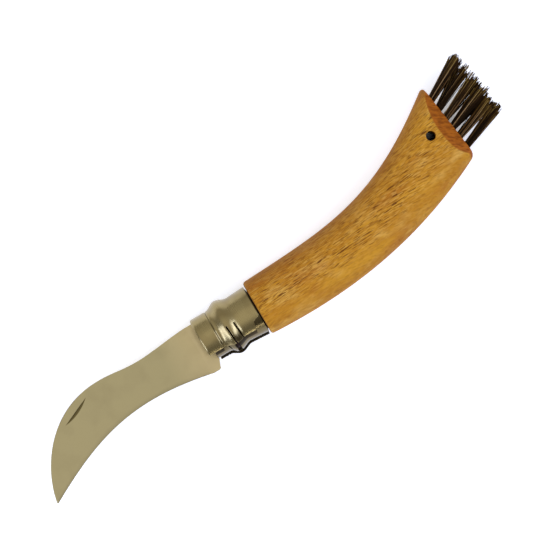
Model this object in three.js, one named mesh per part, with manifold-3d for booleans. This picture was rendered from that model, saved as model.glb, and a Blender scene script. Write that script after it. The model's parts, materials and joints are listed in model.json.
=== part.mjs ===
// A folding mushroom knife: a hooked stainless blade, a bent beech handle with a brush at its end,
// a fixed steel collar on the handle's neck and a turning lock ring over the collar.
//
// The knife is laid out from its pivot: X runs along the collar's axis towards the brush,
// +Y is the side of the blade's spine, and Z runs along the pivot rivet. The knife lies on its
// flank, so the whole is shifted at the end to put the flat of the lower flank at the origin.

import * as THREE from 'three';
import { mergeGeometries, mergeVertices } from 'three/addons/utils/BufferGeometryUtils.js';
import Module from 'manifold-3d';

const wasm = await Module();
wasm.setup();

// Clearances shared by all the pieces, in millimetres
const seatGap = 0.3;
const pivotGap = 0.2;
const overrun = 3;

// Blade, in millimetres, and degrees for its travel
const bladeThickness = 1.7;
const edgeThickness = 0.3;
const tipThickness = 1.0;
const tipReach = 87.9;
const tipDrop = 24.25;
const ricassoReach = 14.5;
const spineHeight = 7.75;
const spineDipHeight = 6.0;
const spineCrownHeight = 7.15;
const heelDrop = 11.85;
const heelReach = 11.5;
const heelLean = 2.2;
const heelRounding = 1.0;
const tangHalfWidth = 5.9;
const tangStepReach = 12.3;
const tangStepLength = 0.6;
const nickLength = 13.4;
const nickWidth = 1.3;
const nickDepth = 0.4;
const nickBelowSpine = 3.0;
const closedAngle = 170;

// Pivot rivet, in millimetres
const rivetRadius = 2.0;
const rivetHeadRadius = 2.7;
const rivetHeadHeight = 0.8;
const rivetDome = 0.5;

// Lock ring, in millimetres, and degrees round the collar from the blade's slot
const ringWall = 0.8;
const ringFrontReach = 12.7;
const ringRearReach = 9.9;
const ringFrontRadius = 9.15;
const ringRearRadius = 9.5;
const ringFlare = 0.45;
const ringEdgeRounding = 0.5;
const bulgeRadius = 10.85;
const bulgePeakReach = 1.7;
const bulgeFrontLength = 4.2;
const bulgeRearLength = 4.6;
const neckLength = 1.0;
const neckDepth = 0.25;
const slotFarAngle = -10;
const slotNearAngle = 51;
const slitTopAngle = 93;
const slitWidth = 0.5;
const tongueWidth = 2.5;
const tongueReach = 0.65;
const heelReliefReach = 9.7;
const heelReliefAngle = 50;
const heelReliefRampAngle = 14;
const rearNotchReach = 6.6;
const rearNotchLean = 0.9;
const rearNotchLowAngle = 73;
const rearNotchHighAngle = 79;

// Fixed collar, in millimetres and degrees
const collarWall = 0.8;
const collarFrontReach = 10.5;
const reliefWidth = 1.4;
const reliefReach = 2.5;
const reliefAngle = 54;
const collarSlitWidth = 0.35;
const collarSlitReach = 4.5;

// Handle, in millimetres, and degrees for the slant of its end
const shoulderReach = 10.75;
const shoulderWidth = 21.4;
const shoulderLift = 0.5;
const shoulderRounding = 1.0;
const handleLength = 94.4;
const handleThickness = 22.6;
const endRise = 24.08;
const endWidth = 31.5;
const endSlant = 7.6;
const endRounding = 1.8;
const endLandWidth = 10;
const endBevelDepth = 5.2;
const lanyardRadius = 1.8;
const lanyardInset = 8.7;
const lanyardDrop = 0.5;

// Brush in the handle's end: two rows of tufts, in millimetres and degrees
const tuftsPerRow = 6;
const strandsPerTuft = 32;
const tuftPitch = 4.2;
const tuftShift = 0.7;
const rowSpacing = 4.7;
const holeRadius = 1.45;
const holeDepth = 5.2;
const sliceDepth = 1.2;
const sliceWidth = 3.4;
const sliceMargin = 0.5;
const strandRadius = 0.13;
const strandTipRadius = 0.07;
const strandLength = 18.4;
const strandLengthSpread = 2.2;
const strandBow = 0.35;
const tuftTipRadius = 2.1;
const leanAtTop = 21;
const leanAtBottom = 13;
const rowSplay = 3;
const anchorThickness = 0.4;
const anchorHeight = 1.1;
const anchorAboveRoot = 0.75;

// Proportions of the drawn curves, as shares of the sizes that they follow
const spineDipShare = 0.302;
const spineCrownShare = 0.52;
const spineEaseShare = 0.09;
const spineFallShare = 0.835;
const spineTipShares = [0.981, 0.569];
const edgeCurveShares = [[0.424, 0.203], [0.657, 0.429]];
const topLeaveShares = [0.402, 0.070];
const topArriveShares = [-0.372, -1.127];
const bottomLeaveShares = [0.360, -0.089];
const bottomArriveShares = [-0.332, -0.669];
const bladeEndShare = 0.992;
const nickShare = 0.585;
const rivetCrownShare = 0.8;
const sectionPower = 2.2;

// How finely the round forms are drawn
const sleeveSides = 48;
const bulgeSteps = 4;
const handleSides = 32;
const handleSteps = 14;
const roundingSteps = 3;
const bladeSteps = 22;
const holeSides = 10;
const wedgeSteps = 4;
const slotArcSteps = 4;
const slotEdgeSteps = 8;

// Large odd numbers that scatter the bristles' lengths
const scatterByTuft = 12.99;
const scatterByStrand = 78.23;
const scatterScale = 43758.5;

// Metals, wood and bristle
const steel = new THREE.MeshStandardMaterial({ color: 0xb6b1a6, roughness: 0.28, metalness: 1 });
const bladeSteel = new THREE.MeshStandardMaterial({ color: 0xb5ad94, roughness: 0.38, metalness: 1 });
const wire = new THREE.MeshStandardMaterial({ color: 0x9a9a98, roughness: 0.45, metalness: 1 });
const beech = new THREE.MeshStandardMaterial({ color: 0xc98f45, roughness: 0.5, metalness: 0 });
const bristle = new THREE.MeshStandardMaterial({ color: 0x2d2118, roughness: 0.75, metalness: 0 });

const point = (x, y) => new THREE.Vector2(x, y);
const mix = THREE.MathUtils.lerp;
const radians = THREE.MathUtils.degToRad;

// Solids from geometries, and geometries from solids

function toSolid(geometry) {
  const bare = geometry.clone();
  bare.deleteAttribute('normal');
  bare.deleteAttribute('uv');
  const merged = mergeVertices(bare);
  return new wasm.Manifold(new wasm.Mesh({
    numProp: 3,
    vertProperties: new Float32Array(merged.attributes.position.array),
    triVerts: new Uint32Array(merged.index.array),
  }));
}

function toGeometry(solid) {
  const { vertProperties, triVerts } = solid.getMesh();
  const geometry = new THREE.BufferGeometry();
  geometry.setAttribute('position', new THREE.BufferAttribute(new Float32Array(vertProperties), 3));
  geometry.setIndex(new THREE.BufferAttribute(new Uint32Array(triVerts), 1));
  geometry.computeVertexNormals();
  return geometry;
}

// An outline in X and Y, pushed through Z from one height to another
function plate(outline, zLow, zHigh) {
  const options = { depth: zHigh - zLow, bevelEnabled: false };
  const geometry = new THREE.ExtrudeGeometry(new THREE.Shape(outline), options);
  return geometry.translate(0, 0, zLow);
}

// An outline in Y and Z, pushed through X from one reach to another
function beam(outline, xLow, xHigh) {
  const geometry = plate(outline, xLow, xHigh);
  const yAxis = new THREE.Vector3(0, 1, 0);
  const zAxis = new THREE.Vector3(0, 0, 1);
  const xAxis = new THREE.Vector3(1, 0, 0);
  return geometry.applyMatrix4(new THREE.Matrix4().makeBasis(yAxis, zAxis, xAxis));
}

// A profile of [reach along X, radius] pairs turned round the X axis
function turned(profile) {
  const points = profile.map(([reach, radius]) => point(radius, reach));
  return new THREE.LatheGeometry(points, sleeveSides).rotateZ(-Math.PI / 2);
}

// A wedge of the space round the X axis, its angles counted from -Y towards +Z
function wedge(fromAngle, toAngle, xLow, xHigh) {
  const reach = bulgeRadius + overrun;
  const outline = [point(0, 0)];
  for (let i = 0; i <= wedgeSteps; i += 1) {
    const angle = radians(mix(fromAngle, toAngle, i / wedgeSteps));
    outline.push(point(-reach * Math.cos(angle), reach * Math.sin(angle)));
  }
  return toSolid(beam(outline, xLow, xHigh));
}

// A closed body through rings of points that all have the same count
function loft(rings) {
  const count = rings[0].length;
  const positions = rings.flat().flatMap((p) => [p.x, p.y, p.z]);
  const index = [];
  for (let i = 0; i + 1 < rings.length; i += 1) {
    for (let j = 0; j < count; j += 1) {
      const a = i * count + j;
      const b = i * count + (j + 1) % count;
      index.push(a, b, b + count, a, b + count, a + count);
    }
  }
  const last = (rings.length - 1) * count;
  for (let j = 1; j + 1 < count; j += 1) {
    index.push(0, j + 1, j, last, last + j, last + j + 1);
  }
  const geometry = new THREE.BufferGeometry();
  geometry.setAttribute('position', new THREE.Float32BufferAttribute(positions, 3));
  geometry.setIndex(index);
  return geometry;
}

// Collar and lock ring: one bulged profile, whose offsets give every sleeve and the wooden neck

const bulgeFront = -bulgePeakReach - bulgeFrontLength;
const bulgeRear = -bulgePeakReach + bulgeRearLength;

function sleeveRadius(x) {
  const beside = x + bulgePeakReach;
  const length = beside < 0 ? bulgeFrontLength : bulgeRearLength;
  const flareShare = Math.max(0, (x - bulgeRear) / (ringRearReach - bulgeRear));
  const base = beside < 0 ? ringFrontRadius : ringRearRadius + ringFlare * flareShare;
  const swell = Math.abs(beside) > length ? 0 : (1 + Math.cos(Math.PI * beside / length)) / 2;
  return mix(base, bulgeRadius, swell);
}

// Places along X where a sleeve between two reaches has a ring of points
function sleevePlaces(from, to) {
  const places = [from];
  for (let i = 0; i <= bulgeSteps; i += 1) {
    places.push(mix(bulgeFront, -bulgePeakReach, i / bulgeSteps));
  }
  for (let i = 1; i <= bulgeSteps; i += 1) {
    places.push(mix(-bulgePeakReach, bulgeRear, i / bulgeSteps));
  }
  places.push(to);
  return places;
}

const collarOuterInset = ringWall + seatGap;
const collarInnerInset = collarOuterInset + collarWall;
const neckInset = collarInnerInset + seatGap;
const collarRearReach = shoulderReach - seatGap;
const bladeSlotHalf = bladeThickness / 2 + seatGap;

function makeLockRing() {
  const front = -ringFrontReach;
  const rear = ringRearReach;
  const rearRadius = sleeveRadius(rear);
  const inside = sleevePlaces(front, rear).map((x) => [x, sleeveRadius(x) - ringWall]);
  const outside = sleevePlaces(front, rear).slice(1, -1).map((x) => [x, sleeveRadius(x)]);
  const lip = [
    [front, ringFrontRadius - ringEdgeRounding],
    [front + ringEdgeRounding, ringFrontRadius],
    [bulgeFront - neckLength, ringFrontRadius],
    [bulgeFront - neckLength + neckDepth, ringFrontRadius - neckDepth],
    [bulgeFront - neckDepth, ringFrontRadius - neckDepth],
  ];
  const rearEdge = [
    [rear - ringEdgeRounding / 2, rearRadius],
    [rear, rearRadius - ringEdgeRounding / 2],
  ];
  const profile = [...lip, ...outside, ...rearEdge, ...inside.reverse()];
  let ring = toSolid(turned([...profile, profile[0]]));

  const before = -ringFrontReach - overrun;
  const behind = ringRearReach + overrun;
  ring = ring.subtract(wedge(slotFarAngle, slotNearAngle, before, behind));
  for (const side of [-1, 1]) {
    const middle = -tongueReach + side * (tongueWidth + slitWidth) / 2;
    const [low, high] = [middle - slitWidth / 2, middle + slitWidth / 2];
    ring = ring.subtract(wedge(slotFarAngle, slitTopAngle, low, high));
  }
  ring = ring.subtract(makeHeelRelief(before));
  return ring.subtract(makeRearNotch(behind));
}

// The rim is cut back on the far side of the slot, where the turned ring meets the blade's heel
function makeHeelRelief(before) {
  const far = bulgeRadius + overrun;
  const flatEnd = radians(heelReliefAngle);
  const rampEnd = radians(heelReliefAngle + heelReliefRampAngle);
  const outline = [
    point(before, -far),
    point(-heelReliefReach, -far),
    point(-heelReliefReach, -ringFrontRadius * Math.cos(flatEnd)),
    point(-ringFrontReach, -ringFrontRadius * Math.cos(rampEnd)),
    point(before, -ringFrontRadius * Math.cos(rampEnd)),
  ];
  return toSolid(plate(outline, -far, 0));
}

// The slot widens at the ring's rear, with a slanted front wall
function makeRearNotch(behind) {
  const far = bulgeRadius + overrun;
  const radius = ringRearRadius;
  const outline = [
    point(rearNotchReach, -far),
    point(behind, -far),
    point(behind, -radius * Math.cos(radians(rearNotchHighAngle))),
    point(rearNotchReach + rearNotchLean, -radius * Math.cos(radians(rearNotchLowAngle))),
    point(rearNotchReach, -radius * Math.cos(radians(slotNearAngle))),
  ];
  return toSolid(plate(outline, 0, far));
}

function makeCollar() {
  const places = sleevePlaces(-collarFrontReach, collarRearReach);
  const outside = places.map((x) => [x, sleeveRadius(x) - collarOuterInset]);
  const inside = places.map((x) => [x, sleeveRadius(x) - collarInnerInset]);
  const profile = [...outside, ...inside.reverse()];
  const tube = toSolid(turned([...profile, profile[0]]));

  const far = bulgeRadius + overrun;
  const slotOutline = [
    point(-far, -bladeSlotHalf),
    point(0, -bladeSlotHalf),
    point(0, bladeSlotHalf),
    point(-far, bladeSlotHalf),
  ];
  const slot = toSolid(beam(slotOutline, -collarFrontReach - overrun, collarRearReach + overrun));
  const relief = wedge(0, reliefAngle, -reliefReach, -reliefReach + reliefWidth);
  const slit = wedge(0, reliefAngle, -collarSlitReach, -collarSlitReach + collarSlitWidth);
  return tube.subtract(slot).subtract(relief).subtract(slit).subtract(rivetSpace());
}

// Pivot rivet, peened into the collar's wall on both sides

// The head's rim lies just inside the collar, where the bulge has fallen furthest
const rivetRimHeight = sleeveRadius(rivetHeadRadius) - collarOuterInset - pivotGap;
const rivetNeckHeight = rivetRimHeight - rivetHeadHeight;

// One half's [height, radius] pairs from the neck outwards, mirrored and turned round Z
function rivetBody(half) {
  const upper = half.map(([height, radius]) => point(radius, height));
  const lower = half.map(([height, radius]) => point(radius, -height)).reverse();
  return toSolid(new THREE.LatheGeometry([...lower, ...upper], 2 * holeSides).rotateX(Math.PI / 2));
}

function makeRivet() {
  return rivetBody([
    [rivetNeckHeight, rivetRadius],
    [rivetRimHeight, rivetHeadRadius],
    [rivetRimHeight + rivetDome * rivetCrownShare, rivetHeadRadius / 2],
    [rivetRimHeight + rivetDome, 0],
  ]);
}

// The rivet's shape grown by the clearance, and lengthened to open through the collar
function rivetSpace() {
  return rivetBody([
    [rivetNeckHeight - pivotGap, rivetRadius + pivotGap],
    [rivetRimHeight, rivetHeadRadius + pivotGap],
    [rivetRimHeight + overrun, rivetHeadRadius + pivotGap],
    [rivetRimHeight + overrun, 0],
  ]);
}

// Blade: a plain tang and ricasso, and a ground part lofted between the spine and the edge

const groundLength = tipReach - ricassoReach;
const bladeX = (share) => -ricassoReach - groundLength * share;

function spineCurve() {
  const ease = groundLength * spineEaseShare;
  const dip = point(bladeX(spineDipShare), spineDipHeight);
  const crown = point(bladeX(spineCrownShare), spineCrownHeight);
  const path = new THREE.Path();
  path.moveTo(-ricassoReach, spineHeight);
  path.bezierCurveTo(-ricassoReach - ease, spineHeight, dip.x + ease, dip.y, dip.x, dip.y);
  path.bezierCurveTo(dip.x - ease, dip.y, crown.x + ease, crown.y, crown.x, crown.y);
  const [tipShare, tipHeightShare] = spineTipShares;
  const fallX = bladeX(spineFallShare);
  const lowX = bladeX(tipShare);
  path.bezierCurveTo(fallX, crown.y, lowX, -tipDrop * tipHeightShare, -tipReach, -tipDrop);
  return path;
}

function edgeCurve() {
  const [near, far] = edgeCurveShares;
  return new THREE.CubicBezierCurve(
    point(-ricassoReach, -heelDrop),
    point(bladeX(near[0]), -tipDrop * near[1]),
    point(bladeX(far[0]), -tipDrop * far[1]),
    point(-tipReach, -tipDrop),
  );
}

function makeGroundBlade() {
  const spine = spineCurve();
  const edge = edgeCurve();
  const rings = [];
  for (let i = 0; i <= bladeSteps; i += 1) {
    const share = bladeEndShare * i / bladeSteps;
    const back = spine.getPointAt(share);
    const front = edge.getPointAt(share);
    const half = mix(bladeThickness, tipThickness, share) / 2;
    const thin = Math.min(edgeThickness, 2 * half) / 2;
    rings.push([
      new THREE.Vector3(back.x, back.y, half),
      new THREE.Vector3(back.x, back.y, -half),
      new THREE.Vector3(front.x, front.y, -thin),
      new THREE.Vector3(front.x, front.y, thin),
    ]);
  }
  return toSolid(loft(rings));
}

// The flat part: up the heel, round the pivot and back under the spine
function tangOutline() {
  const heelTop = point(-heelReach + heelLean, -tangHalfWidth);
  const corner = point(-heelReach, -heelDrop);
  const shape = new THREE.Shape();
  shape.moveTo(-ricassoReach, spineHeight);
  shape.lineTo(-ricassoReach, -heelDrop);
  shape.lineTo(corner.x - heelRounding, corner.y);
  shape.quadraticCurveTo(corner.x, corner.y, corner.x + heelRounding * heelLean / heelDrop,
    corner.y + heelRounding);
  shape.lineTo(heelTop.x, heelTop.y);
  shape.lineTo(0, -tangHalfWidth);
  shape.absarc(0, 0, tangHalfWidth, -Math.PI / 2, Math.PI / 2, false);
  shape.lineTo(-tangStepReach + tangStepLength, tangHalfWidth);
  shape.lineTo(-tangStepReach, spineHeight);
  return shape.getPoints(holeSides);
}

// A nail nick on the side that faces +Z: a thin leaf, straight where it faces the spine
function makeNick() {
  const spine = spineCurve();
  const at = spine.getPointAt(nickShare);
  const along = spine.getTangentAt(nickShare);
  const across = point(-along.y, along.x);
  const spot = (s, t) => point(
    at.x + along.x * s + across.x * (nickBelowSpine + t),
    at.y + along.y * s + across.y * (nickBelowSpine + t),
  );
  const shape = new THREE.Shape();
  const start = spot(-nickLength / 2, 0);
  const end = spot(nickLength / 2, 0);
  const belly = spot(0, 2 * nickWidth);
  shape.moveTo(start.x, start.y);
  shape.lineTo(end.x, end.y);
  shape.quadraticCurveTo(belly.x, belly.y, start.x, start.y);
  const floor = mix(bladeThickness, tipThickness, nickShare) / 2 - nickDepth;
  return toSolid(plate(shape.getPoints(holeSides), floor, floor + overrun));
}

function makeBlade() {
  const flat = toSolid(plate(tangOutline(), -bladeThickness / 2, bladeThickness / 2));
  const holeAround = rivetRadius + pivotGap;
  const length = bladeThickness + overrun;
  const hole = new THREE.CylinderGeometry(holeAround, holeAround, length, 2 * holeSides);
  const pivotHole = toSolid(hole.rotateX(Math.PI / 2));
  return flat.add(makeGroundBlade()).subtract(makeNick()).subtract(pivotHole);
}

// Handle: sections between a top and a bottom rail, on a turned neck that fills the collar

const shoulderTop = point(shoulderReach, shoulderLift + shoulderWidth / 2);
const shoulderBottom = point(shoulderReach, shoulderLift - shoulderWidth / 2);
const slant = radians(endSlant);
const endNormal = point(Math.cos(slant), Math.sin(slant));
const endAlong = point(-Math.sin(slant), Math.cos(slant));
const endCentre = point(shoulderReach + handleLength, endRise);
const endTop = endCentre.clone().addScaledVector(endAlong, endWidth / 2);
const endBottom = endCentre.clone().addScaledVector(endAlong, -endWidth / 2);

function rail(start, end, leaveShares, arriveShares) {
  const leave = point(handleLength * leaveShares[0], endRise * leaveShares[1]);
  const arrive = point(handleLength * arriveShares[0], endRise * arriveShares[1]);
  return new THREE.CubicBezierCurve(start, leave.add(start), arrive.add(end), end);
}

const topRail = rail(shoulderTop, endTop, topLeaveShares, topArriveShares);
const bottomRail = rail(shoulderBottom, endBottom, bottomLeaveShares, bottomArriveShares);

// One section of the handle, drawn in by an inset at the rounded ends. No point lies on the
// flank's middle line, so that each flank has a flat strip at the handle's full thickness.
function handleSection(share, inset) {
  const top = topRail.getPoint(share);
  const bottom = bottomRail.getPoint(share);
  const centre = top.clone().add(bottom).multiplyScalar(0.5);
  const half = top.clone().sub(centre);
  const heightShare = 1 - inset / half.length();
  const firstAngle = Math.PI / handleSides;
  const crest = Math.cos(firstAngle) ** (2 / sectionPower);
  const depth = (handleThickness / 2 - inset) / crest;
  const ring = [];
  for (let i = 0; i < handleSides; i += 1) {
    const angle = firstAngle + 2 * Math.PI * i / handleSides;
    const up = Math.sign(Math.cos(angle)) * Math.abs(Math.cos(angle)) ** (2 / sectionPower);
    const out = Math.sign(Math.sin(angle)) * Math.abs(Math.sin(angle)) ** (2 / sectionPower);
    ring.push(new THREE.Vector3(
      centre.x + half.x * up * heightShare,
      centre.y + half.y * up * heightShare,
      depth * out,
    ));
  }
  return ring;
}

function makeHandleBar() {
  const rings = [];
  for (let i = 0; i < roundingSteps; i += 1) {
    const angle = Math.PI / 2 * i / roundingSteps;
    const share = shoulderRounding * (1 - Math.cos(angle)) / handleLength;
    rings.push(handleSection(share, shoulderRounding * (1 - Math.sin(angle))));
  }
  const start = shoulderRounding / handleLength;
  const end = 1 - endRounding / handleLength;
  for (let i = 0; i <= handleSteps; i += 1) {
    rings.push(handleSection(mix(start, end, i / handleSteps), 0));
  }
  for (let i = 1; i <= roundingSteps; i += 1) {
    const angle = Math.PI / 2 * i / roundingSteps;
    const share = 1 - endRounding * (1 - Math.sin(angle)) / handleLength;
    rings.push(handleSection(share, endRounding * (1 - Math.cos(angle))));
  }
  return toSolid(loft(rings));
}

function makeNeck() {
  const front = -collarFrontReach + seatGap;
  const rear = shoulderReach + overrun;
  const places = sleevePlaces(front, rear);
  const outside = places.map((x) => [x, sleeveRadius(Math.min(x, shoulderReach)) - neckInset]);
  return toSolid(turned([[front, 0], ...outside, [rear, 0]]));
}

// Where a point of the open blade goes when the blade is folded
function folded(x, y) {
  return point(x, y).rotateAround(point(0, 0), radians(closedAngle));
}

// The slot takes the folded blade with its edge, heel and tip clear of the wood
function makeBladeSlot() {
  const gap = 2 * seatGap;
  const below = heelDrop + overrun;
  const tangRadius = tangHalfWidth + seatGap;
  const front = -collarFrontReach - overrun;
  const outline = [point(front, -below), point(front, tangRadius)];
  for (let i = 0; i <= slotArcSteps; i += 1) {
    const angle = mix(Math.PI / 2, radians(closedAngle) - Math.PI / 2, i / slotArcSteps);
    outline.push(point(tangRadius * Math.cos(angle), tangRadius * Math.sin(angle)));
  }
  const heelBack = -heelReach + heelLean;
  outline.push(folded(heelBack + gap, -tangRadius));
  outline.push(folded(-heelReach + gap, -heelDrop - gap));
  const edge = edgeCurve();
  for (let i = 0; i <= slotEdgeSteps; i += 1) {
    const at = edge.getPointAt(i / slotEdgeSteps);
    outline.push(folded(at.x, at.y - gap));
  }
  outline.push(folded(-tipReach - gap, -tipDrop - gap));
  const end = folded(-tipReach - gap, -tipDrop);
  outline.push(point(end.x + gap, -below));
  return toSolid(plate(outline, -bladeSlotHalf, bladeSlotHalf));
}

// The end's own frame: X out of the end, Y up along it, Z across
const endFrame = new THREE.Matrix4().makeBasis(
  new THREE.Vector3(endNormal.x, endNormal.y, 0),
  new THREE.Vector3(endAlong.x, endAlong.y, 0),
  new THREE.Vector3(0, 0, 1),
).setPosition(endCentre.x, endCentre.y, 0);

// One of the two bevels that narrow the end to the land that holds the brush
function makeEndBevel(side) {
  const land = side * endLandWidth / 2;
  const flank = side * handleThickness / 2;
  const beyond = side * (handleThickness / 2 + overrun);
  const outline = [
    point(0, land),
    point(-endBevelDepth, flank),
    point(-endBevelDepth, beyond),
    point(overrun, beyond),
    point(overrun, land),
  ];
  const length = endWidth + overrun;
  const geometry = plate(outline, -length / 2, length / 2).rotateX(Math.PI / 2);
  return toSolid(geometry.applyMatrix4(endFrame));
}

// Brush: each row is one strip of the end with its tufts, and each tuft is held by a flat anchor

const rows = [{ name: 'near', side: 1 }, { name: 'far', side: -1 }];
const rowLength = tuftPitch * (tuftsPerRow - 1);
const plugRadius = holeRadius - seatGap;

// A tuft's own frame in the end's frame: X along the strands, its origin on the end's face
function tuftFrame(side, number) {
  const share = number / (tuftsPerRow - 1);
  const lean = radians(mix(leanAtBottom, leanAtTop, share));
  const turn = new THREE.Euler(0, radians(-side * rowSplay), lean, 'ZYX');
  const frame = new THREE.Matrix4().makeRotationFromEuler(turn);
  const along = -tuftShift - rowLength / 2 + tuftPitch * number;
  return frame.setPosition(0, along, side * rowSpacing / 2);
}

function box(xLow, xHigh, yLow, yHigh, zLow, zHigh) {
  const geometry = new THREE.BoxGeometry(xHigh - xLow, yHigh - yLow, zHigh - zLow);
  return geometry.translate((xLow + xHigh) / 2, (yLow + yHigh) / 2, (zLow + zHigh) / 2);
}

function rod(radius, xLow, xHigh) {
  const geometry = new THREE.CylinderGeometry(radius, radius, xHigh - xLow, holeSides);
  return geometry.rotateZ(-Math.PI / 2).translate((xLow + xHigh) / 2, 0, 0);
}

function sliceBox(side, grow) {
  const halfLength = rowLength / 2 + holeRadius + sliceMargin + grow;
  const halfWidth = sliceWidth / 2 + grow;
  const middle = side * rowSpacing / 2;
  const top = grow > 0 ? overrun : 0;
  return box(-sliceDepth - grow, top, -tuftShift - halfLength, -tuftShift + halfLength,
    middle - halfWidth, middle + halfWidth);
}

// A fixed, evenly scattered share for a strand, from its tuft's and its own number
function scatter(tuft, strand) {
  const value = Math.sin(tuft * scatterByTuft + strand * scatterByStrand) * scatterScale;
  return value - Math.floor(value);
}

// One bristle: three-sided, tapered, a little bowed, and spread from its tuft's middle
function strand(tuft, number) {
  const share = Math.sqrt((number + 0.5) / strandsPerTuft);
  const turn = number * Math.PI * (3 - Math.sqrt(5));
  const rootSpread = share * (plugRadius - strandRadius);
  const tipSpread = share * (tuftTipRadius - strandRadius);
  const length = strandLength - strandLengthSpread * (scatter(tuft, number) - 0.5 + share * share / 2);
  const stations = [
    { along: -sliceDepth / 2, thick: strandRadius },
    { along: length / 2, thick: strandRadius },
    { along: length, thick: strandTipRadius },
  ];
  const rings = stations.map(({ along, thick }) => {
    const spread = mix(rootSpread, tipSpread, along / strandLength);
    const bow = strandBow * Math.sin(Math.PI * Math.max(0, along) / strandLength);
    return [0, 1, 2].map((corner) => {
      const angle = turn + corner * 2 * Math.PI / 3;
      return new THREE.Vector3(
        along,
        spread * Math.cos(turn) + bow + thick * Math.cos(angle),
        spread * Math.sin(turn) + thick * Math.sin(angle),
      );
    });
  });
  return loft(rings);
}

const anchorHalfLength = Math.sqrt(holeRadius ** 2 - (anchorThickness / 2) ** 2) - seatGap / 2;

function anchorBox(grow, halfLength) {
  const low = -holeDepth + seatGap + anchorAboveRoot;
  return box(low - grow, low + anchorHeight + grow, -halfLength, halfLength,
    -anchorThickness / 2 - grow, anchorThickness / 2 + grow);
}

function makeBristleRow(side) {
  let row = toSolid(sliceBox(side, 0));
  for (let tuft = 0; tuft < tuftsPerRow; tuft += 1) {
    const frame = tuftFrame(side, tuft);
    const plug = rod(plugRadius, -holeDepth + seatGap, -sliceDepth / 2).applyMatrix4(frame);
    const window = anchorBox(seatGap, holeRadius).applyMatrix4(frame);
    const strands = [];
    for (let number = 0; number < strandsPerTuft; number += 1) {
      strands.push(strand(tuft + side * tuftsPerRow, number));
    }
    row = row.add(toSolid(plug).subtract(toSolid(window)));
    row = row.add(toSolid(mergeGeometries(strands).applyMatrix4(frame)));
  }
  return row.transform(endFrame.elements);
}

function makeAnchor(side, tuft) {
  const geometry = anchorBox(0, anchorHalfLength);
  return toSolid(geometry.applyMatrix4(tuftFrame(side, tuft)).applyMatrix4(endFrame));
}

function makeHandle() {
  let handle = makeHandleBar().add(makeNeck());
  for (const { side } of rows) {
    handle = handle.subtract(makeEndBevel(side));
    handle = handle.subtract(toSolid(sliceBox(side, seatGap).applyMatrix4(endFrame)));
    for (let tuft = 0; tuft < tuftsPerRow; tuft += 1) {
      const hole = rod(holeRadius, -holeDepth, 0).applyMatrix4(tuftFrame(side, tuft));
      handle = handle.subtract(toSolid(hole.applyMatrix4(endFrame)));
    }
  }
  const lanyardLength = handleThickness + overrun;
  const lanyard = new THREE.CylinderGeometry(lanyardRadius, lanyardRadius, lanyardLength, 2 * holeSides);
  lanyard.rotateX(Math.PI / 2).translate(-lanyardInset, -lanyardDrop, 0).applyMatrix4(endFrame);
  handle = handle.subtract(toSolid(lanyard));
  return handle.subtract(makeBladeSlot()).subtract(rivetSpace());
}

// Assembly

const knife = new THREE.Group();

function place(name, solid, material) {
  const mesh = new THREE.Mesh(toGeometry(solid), material);
  mesh.name = name;
  knife.add(mesh);
}

place('handle', makeHandle(), beech);
place('fixed_collar', makeCollar(), steel);
place('pivot_rivet', makeRivet(), steel);
place('lock_ring', makeLockRing(), steel);
place('blade', makeBlade(), bladeSteel);
for (const { name, side } of rows) {
  place(`bristle_row_${name}`, makeBristleRow(side), bristle);
  for (let tuft = 0; tuft < tuftsPerRow; tuft += 1) {
    place(`tuft_anchor_${name}_${tuft + 1}`, makeAnchor(side, tuft), wire);
  }
}

// The knife rests on the flat of its lower flank, halfway along the handle
const restShare = 0.5;
const restTop = topRail.getPoint(restShare);
const restPoint = bottomRail.getPoint(restShare).add(restTop).multiplyScalar(0.5);
knife.position.set(-restPoint.x, -restPoint.y, handleThickness / 2);

export default knife;
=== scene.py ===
# %% [markdown]
# # A folding mushroom knife, dressed around its construction model
# The knife was first built as plain solids at their real size: handle, blade, fixed collar, turning
# lock ring, pivot rivet and brush. Those solids carry the joints and the collision shapes, and they
# are never moved here. This lesson gives each of them the form and the finish of the real piece.

# %% Load the construction model
import json
import math

import bmesh
import bpy
from mathutils import Matrix, Vector


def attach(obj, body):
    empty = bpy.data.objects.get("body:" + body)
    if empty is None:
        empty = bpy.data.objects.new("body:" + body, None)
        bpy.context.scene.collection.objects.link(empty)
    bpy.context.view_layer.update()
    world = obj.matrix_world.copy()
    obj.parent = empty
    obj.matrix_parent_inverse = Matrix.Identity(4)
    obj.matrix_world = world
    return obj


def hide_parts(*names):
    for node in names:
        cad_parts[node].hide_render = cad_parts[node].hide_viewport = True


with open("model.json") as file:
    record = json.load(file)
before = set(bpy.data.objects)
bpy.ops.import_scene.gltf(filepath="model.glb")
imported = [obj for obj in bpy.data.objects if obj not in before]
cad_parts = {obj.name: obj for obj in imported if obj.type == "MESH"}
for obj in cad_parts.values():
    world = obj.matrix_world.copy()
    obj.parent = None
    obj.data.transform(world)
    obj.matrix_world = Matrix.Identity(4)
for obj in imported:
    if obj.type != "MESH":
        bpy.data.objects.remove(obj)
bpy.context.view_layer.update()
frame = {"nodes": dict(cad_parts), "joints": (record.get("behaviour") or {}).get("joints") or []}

# %% [markdown]
# Every length below is in millimetres and is measured from the blade's pivot, because a folding knife
# is laid out from there: x runs along the collar towards the brush, y rises towards the blade's spine
# and z runs along the rivet. One function turns such a place into Blender's metres.

# %% Places measured from the pivot
MM = 0.001
pivot = Vector(frame["joints"][0]["pos_m"])


def spot(x, y, z=0.0):
    """A place in metres, from millimetres measured from the pivot."""
    return pivot + Vector((x, y, z)) * MM


def mix(first, last, share):
    return first + (last - first) * share


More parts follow.
